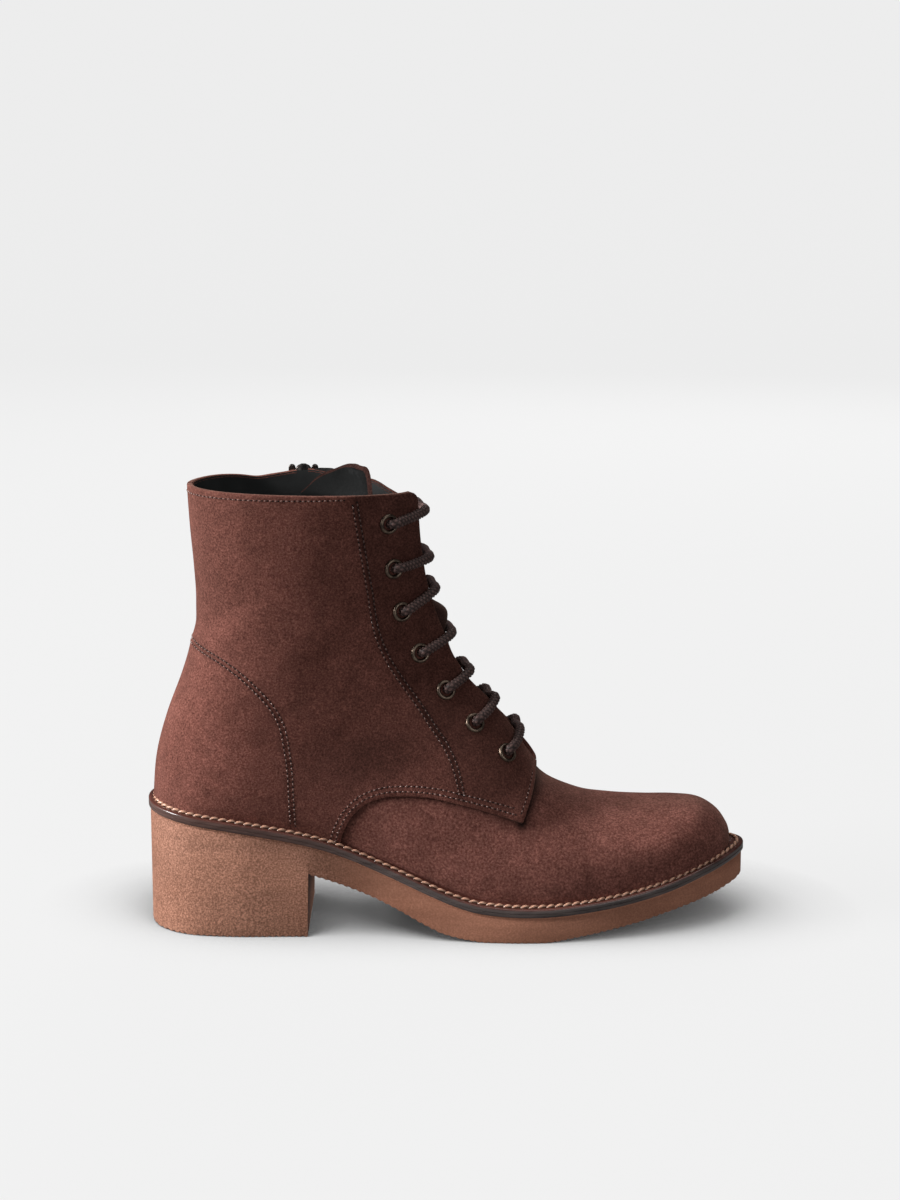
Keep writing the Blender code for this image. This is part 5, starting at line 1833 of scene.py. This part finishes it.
def make_zip_pull(hinge, finish):
    """The pull tab: an eye round the pin, a neck and a long tab with a slot."""
    wide, thick, long = PULL_SIZE
    inner = PIN_DIAMETER / 2 + GAP
    outer = inner + EYE_WALL
    half = EYE_HALF
    profile = [(-half, inner), (-half, outer), (half, outer), (half, inner), (-half, inner)]
    eye = stacked_loops(turned_loops(profile, EYE_SIDES))
    top, foot = -outer - PULL_DROPS[0], -outer - PULL_DROPS[1] - long
    outline = np.array(capsule_outline(top, foot, wide / 2, wide / 2, 10))
    slot_ends = [foot + end for end in PULL_SLOT]
    slot = np.array(capsule_outline(*slot_ends, PULL_SLOT_HALF, PULL_SLOT_HALF, 10))
    small = outline * (PULL_NARROW, 1.0)
    half = thick / 2
    steps = [(slot, half), (small, half), (outline, half - PULL_BEVEL)]
    loops = [upright(flat, -depth) for flat, depth in steps] + [upright(*step) for step in steps[::-1]]
    tab = stacked_loops(loops + loops[:1])
    neck_ends = (-inner - NECK_ENDS[0], top - NECK_ENDS[1])
    outline = capsule_outline(*neck_ends, EYE_HALF, EYE_HALF, 6)
    neck = rounded_plate(outline, -NECK_HALF, NECK_HALF, NECK_BEVEL)
    points, faces = moved(joined([eye, neck, tab]), hinge)
    made = piece("pull_tab_metal", points, faces, finish, "zip_metal", "pull_tab", sharp=45)
    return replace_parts(made, "zip_pull")


# Stage


def make_stage():
    """A round pale floor that curves up into a backdrop all round."""
    rise = np.linspace(0, math.pi / 2, STAGE_BEND_STATIONS)
    profile = [(STAGE_REACH + STAGE_BEND * math.sin(t), STAGE_BEND * (1 - math.cos(t))) for t in rise]
    profile.append((STAGE_REACH + STAGE_BEND, STAGE_TOP))
    turn = turns(STAGE_SIDES)
    circle = np.column_stack([np.cos(turn), np.sin(turn), np.zeros(STAGE_SIDES)])
    points, faces = stacked_loops([radius * circle + (0, 0, height) for radius, height in profile])
    mesh = bpy.data.meshes.new("stage")
    floor_face = tuple(range(STAGE_SIDES))
    mesh.from_pydata((points * MM).tolist(), [], [face[::-1] for face in faces] + [floor_face])
    mesh.shade_smooth()
    floor = placed("stage", mesh)
    mesh.materials.append(paper())
    floor.visible_diffuse = False
    floor.visible_glossy = False
    floor.visible_shadow = False


def add_light(name, place, aim, size, power):
    """A square lamp that faces its aim. The one behind the boot shows in no reflection."""
    data = bpy.data.lights.new(name, "AREA")
    data.size = size
    data.energy = power
    made = placed(name, data)
    made.location = Vector(place)
    made.rotation_euler = (Vector(aim) - Vector(place)).to_track_quat("-Z", "Y").to_euler()
    made.visible_glossy = name != "back"


def light_stage():
    """An even white surround, brighter from below as over a pale floor, and the lamps."""
    world = bpy.data.worlds.new("studio")
    world.use_nodes = True
    nodes, links = world.node_tree.nodes, world.node_tree.links
    nodes["Background"].inputs["Color"].default_value = (1.0, 1.0, 1.0, 1.0)
    split = nodes.new("ShaderNodeSeparateXYZ")
    links.new(nodes.new("ShaderNodeTexCoord").outputs["Generated"], split.inputs[0])
    rise = nodes.new("ShaderNodeMapRange")
    for socket, value in WORLD_LIGHT.items():
        rise.inputs[socket].default_value = value
    links.new(split.outputs["Z"], rise.inputs["Value"])
    links.new(rise.outputs["Result"], nodes["Background"].inputs["Strength"])
    bpy.context.scene.world = world
    bpy.context.scene.view_settings.view_transform = "Standard"
    for light in LIGHTS:
        add_light(**light)


def make_camera():
    data = bpy.data.cameras.new("camera")
    data.lens = CAMERA_LENS
    data.sensor_width = CAMERA_SENSOR
    data.clip_end = CAMERA_RANGE
    made = placed("camera", data)
    made.location = Vector(CAMERA_PLACE) * MM
    made.rotation_euler = (math.radians(90 - CAMERA_PITCH), 0.0, 0.0)
    bpy.context.scene.camera = made


for old in list(bpy.data.objects):
    bpy.data.objects.remove(old, do_unlink=True)
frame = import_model()
pull_hinge = np.array(frame["joints"][0]["pos_m"]) / MM
make_camera()
light_stage()
make_stage()
looks = {
    "suede": suede("suede", (0.140, 0.051, 0.039), (0.180, 0.067, 0.052), 1300),
    "vamp": suede("vamp_suede", (0.160, 0.060, 0.047), (0.225, 0.087, 0.069), 1050),
    "tongue": suede("tongue_suede", (0.030, 0.012, 0.010), (0.045, 0.018, 0.015), 1600, toned=False),
    "lining": lining_leather("lining_leather", 0.022, 0.042),
    "tongue_lining": lining_leather("tongue_leather", 0.005, 0.010),
    "welt": welt_leather(),
    "thread": thread("upper_thread", (0.27, 0.137, 0.110)),
    "welt_thread": thread("welt_thread", (0.56, 0.31, 0.21)),
    "hole": needle_hole_shade(),
    "metal": zip_metal(),
}
form_rows, form_grids, form_normals = form_surface()
form_walls = Walls(form_grids)
make_upper(form_rows, form_grids, form_normals, looks)
make_lining(form_grids, form_normals, looks["lining"])
make_seams(form_walls, form_grids, form_normals, looks)
make_outsole(rubber())
make_welt(looks["welt"])
make_welt_stitches(looks["welt_thread"])
make_tongue(looks)
make_eyelets(antique_brass())
make_lace(lace_cord())
make_zip_teeth(form_walls, pull_hinge, looks["metal"])
make_zip_tapes(form_walls, zip_tape())
make_zip_slider(pull_hinge, looks["metal"])
make_zip_pull(pull_hinge, looks["metal"])
frame["nodes"]["insole"].data.materials.clear()
frame["nodes"]["insole"].data.materials.append(looks["lining"])
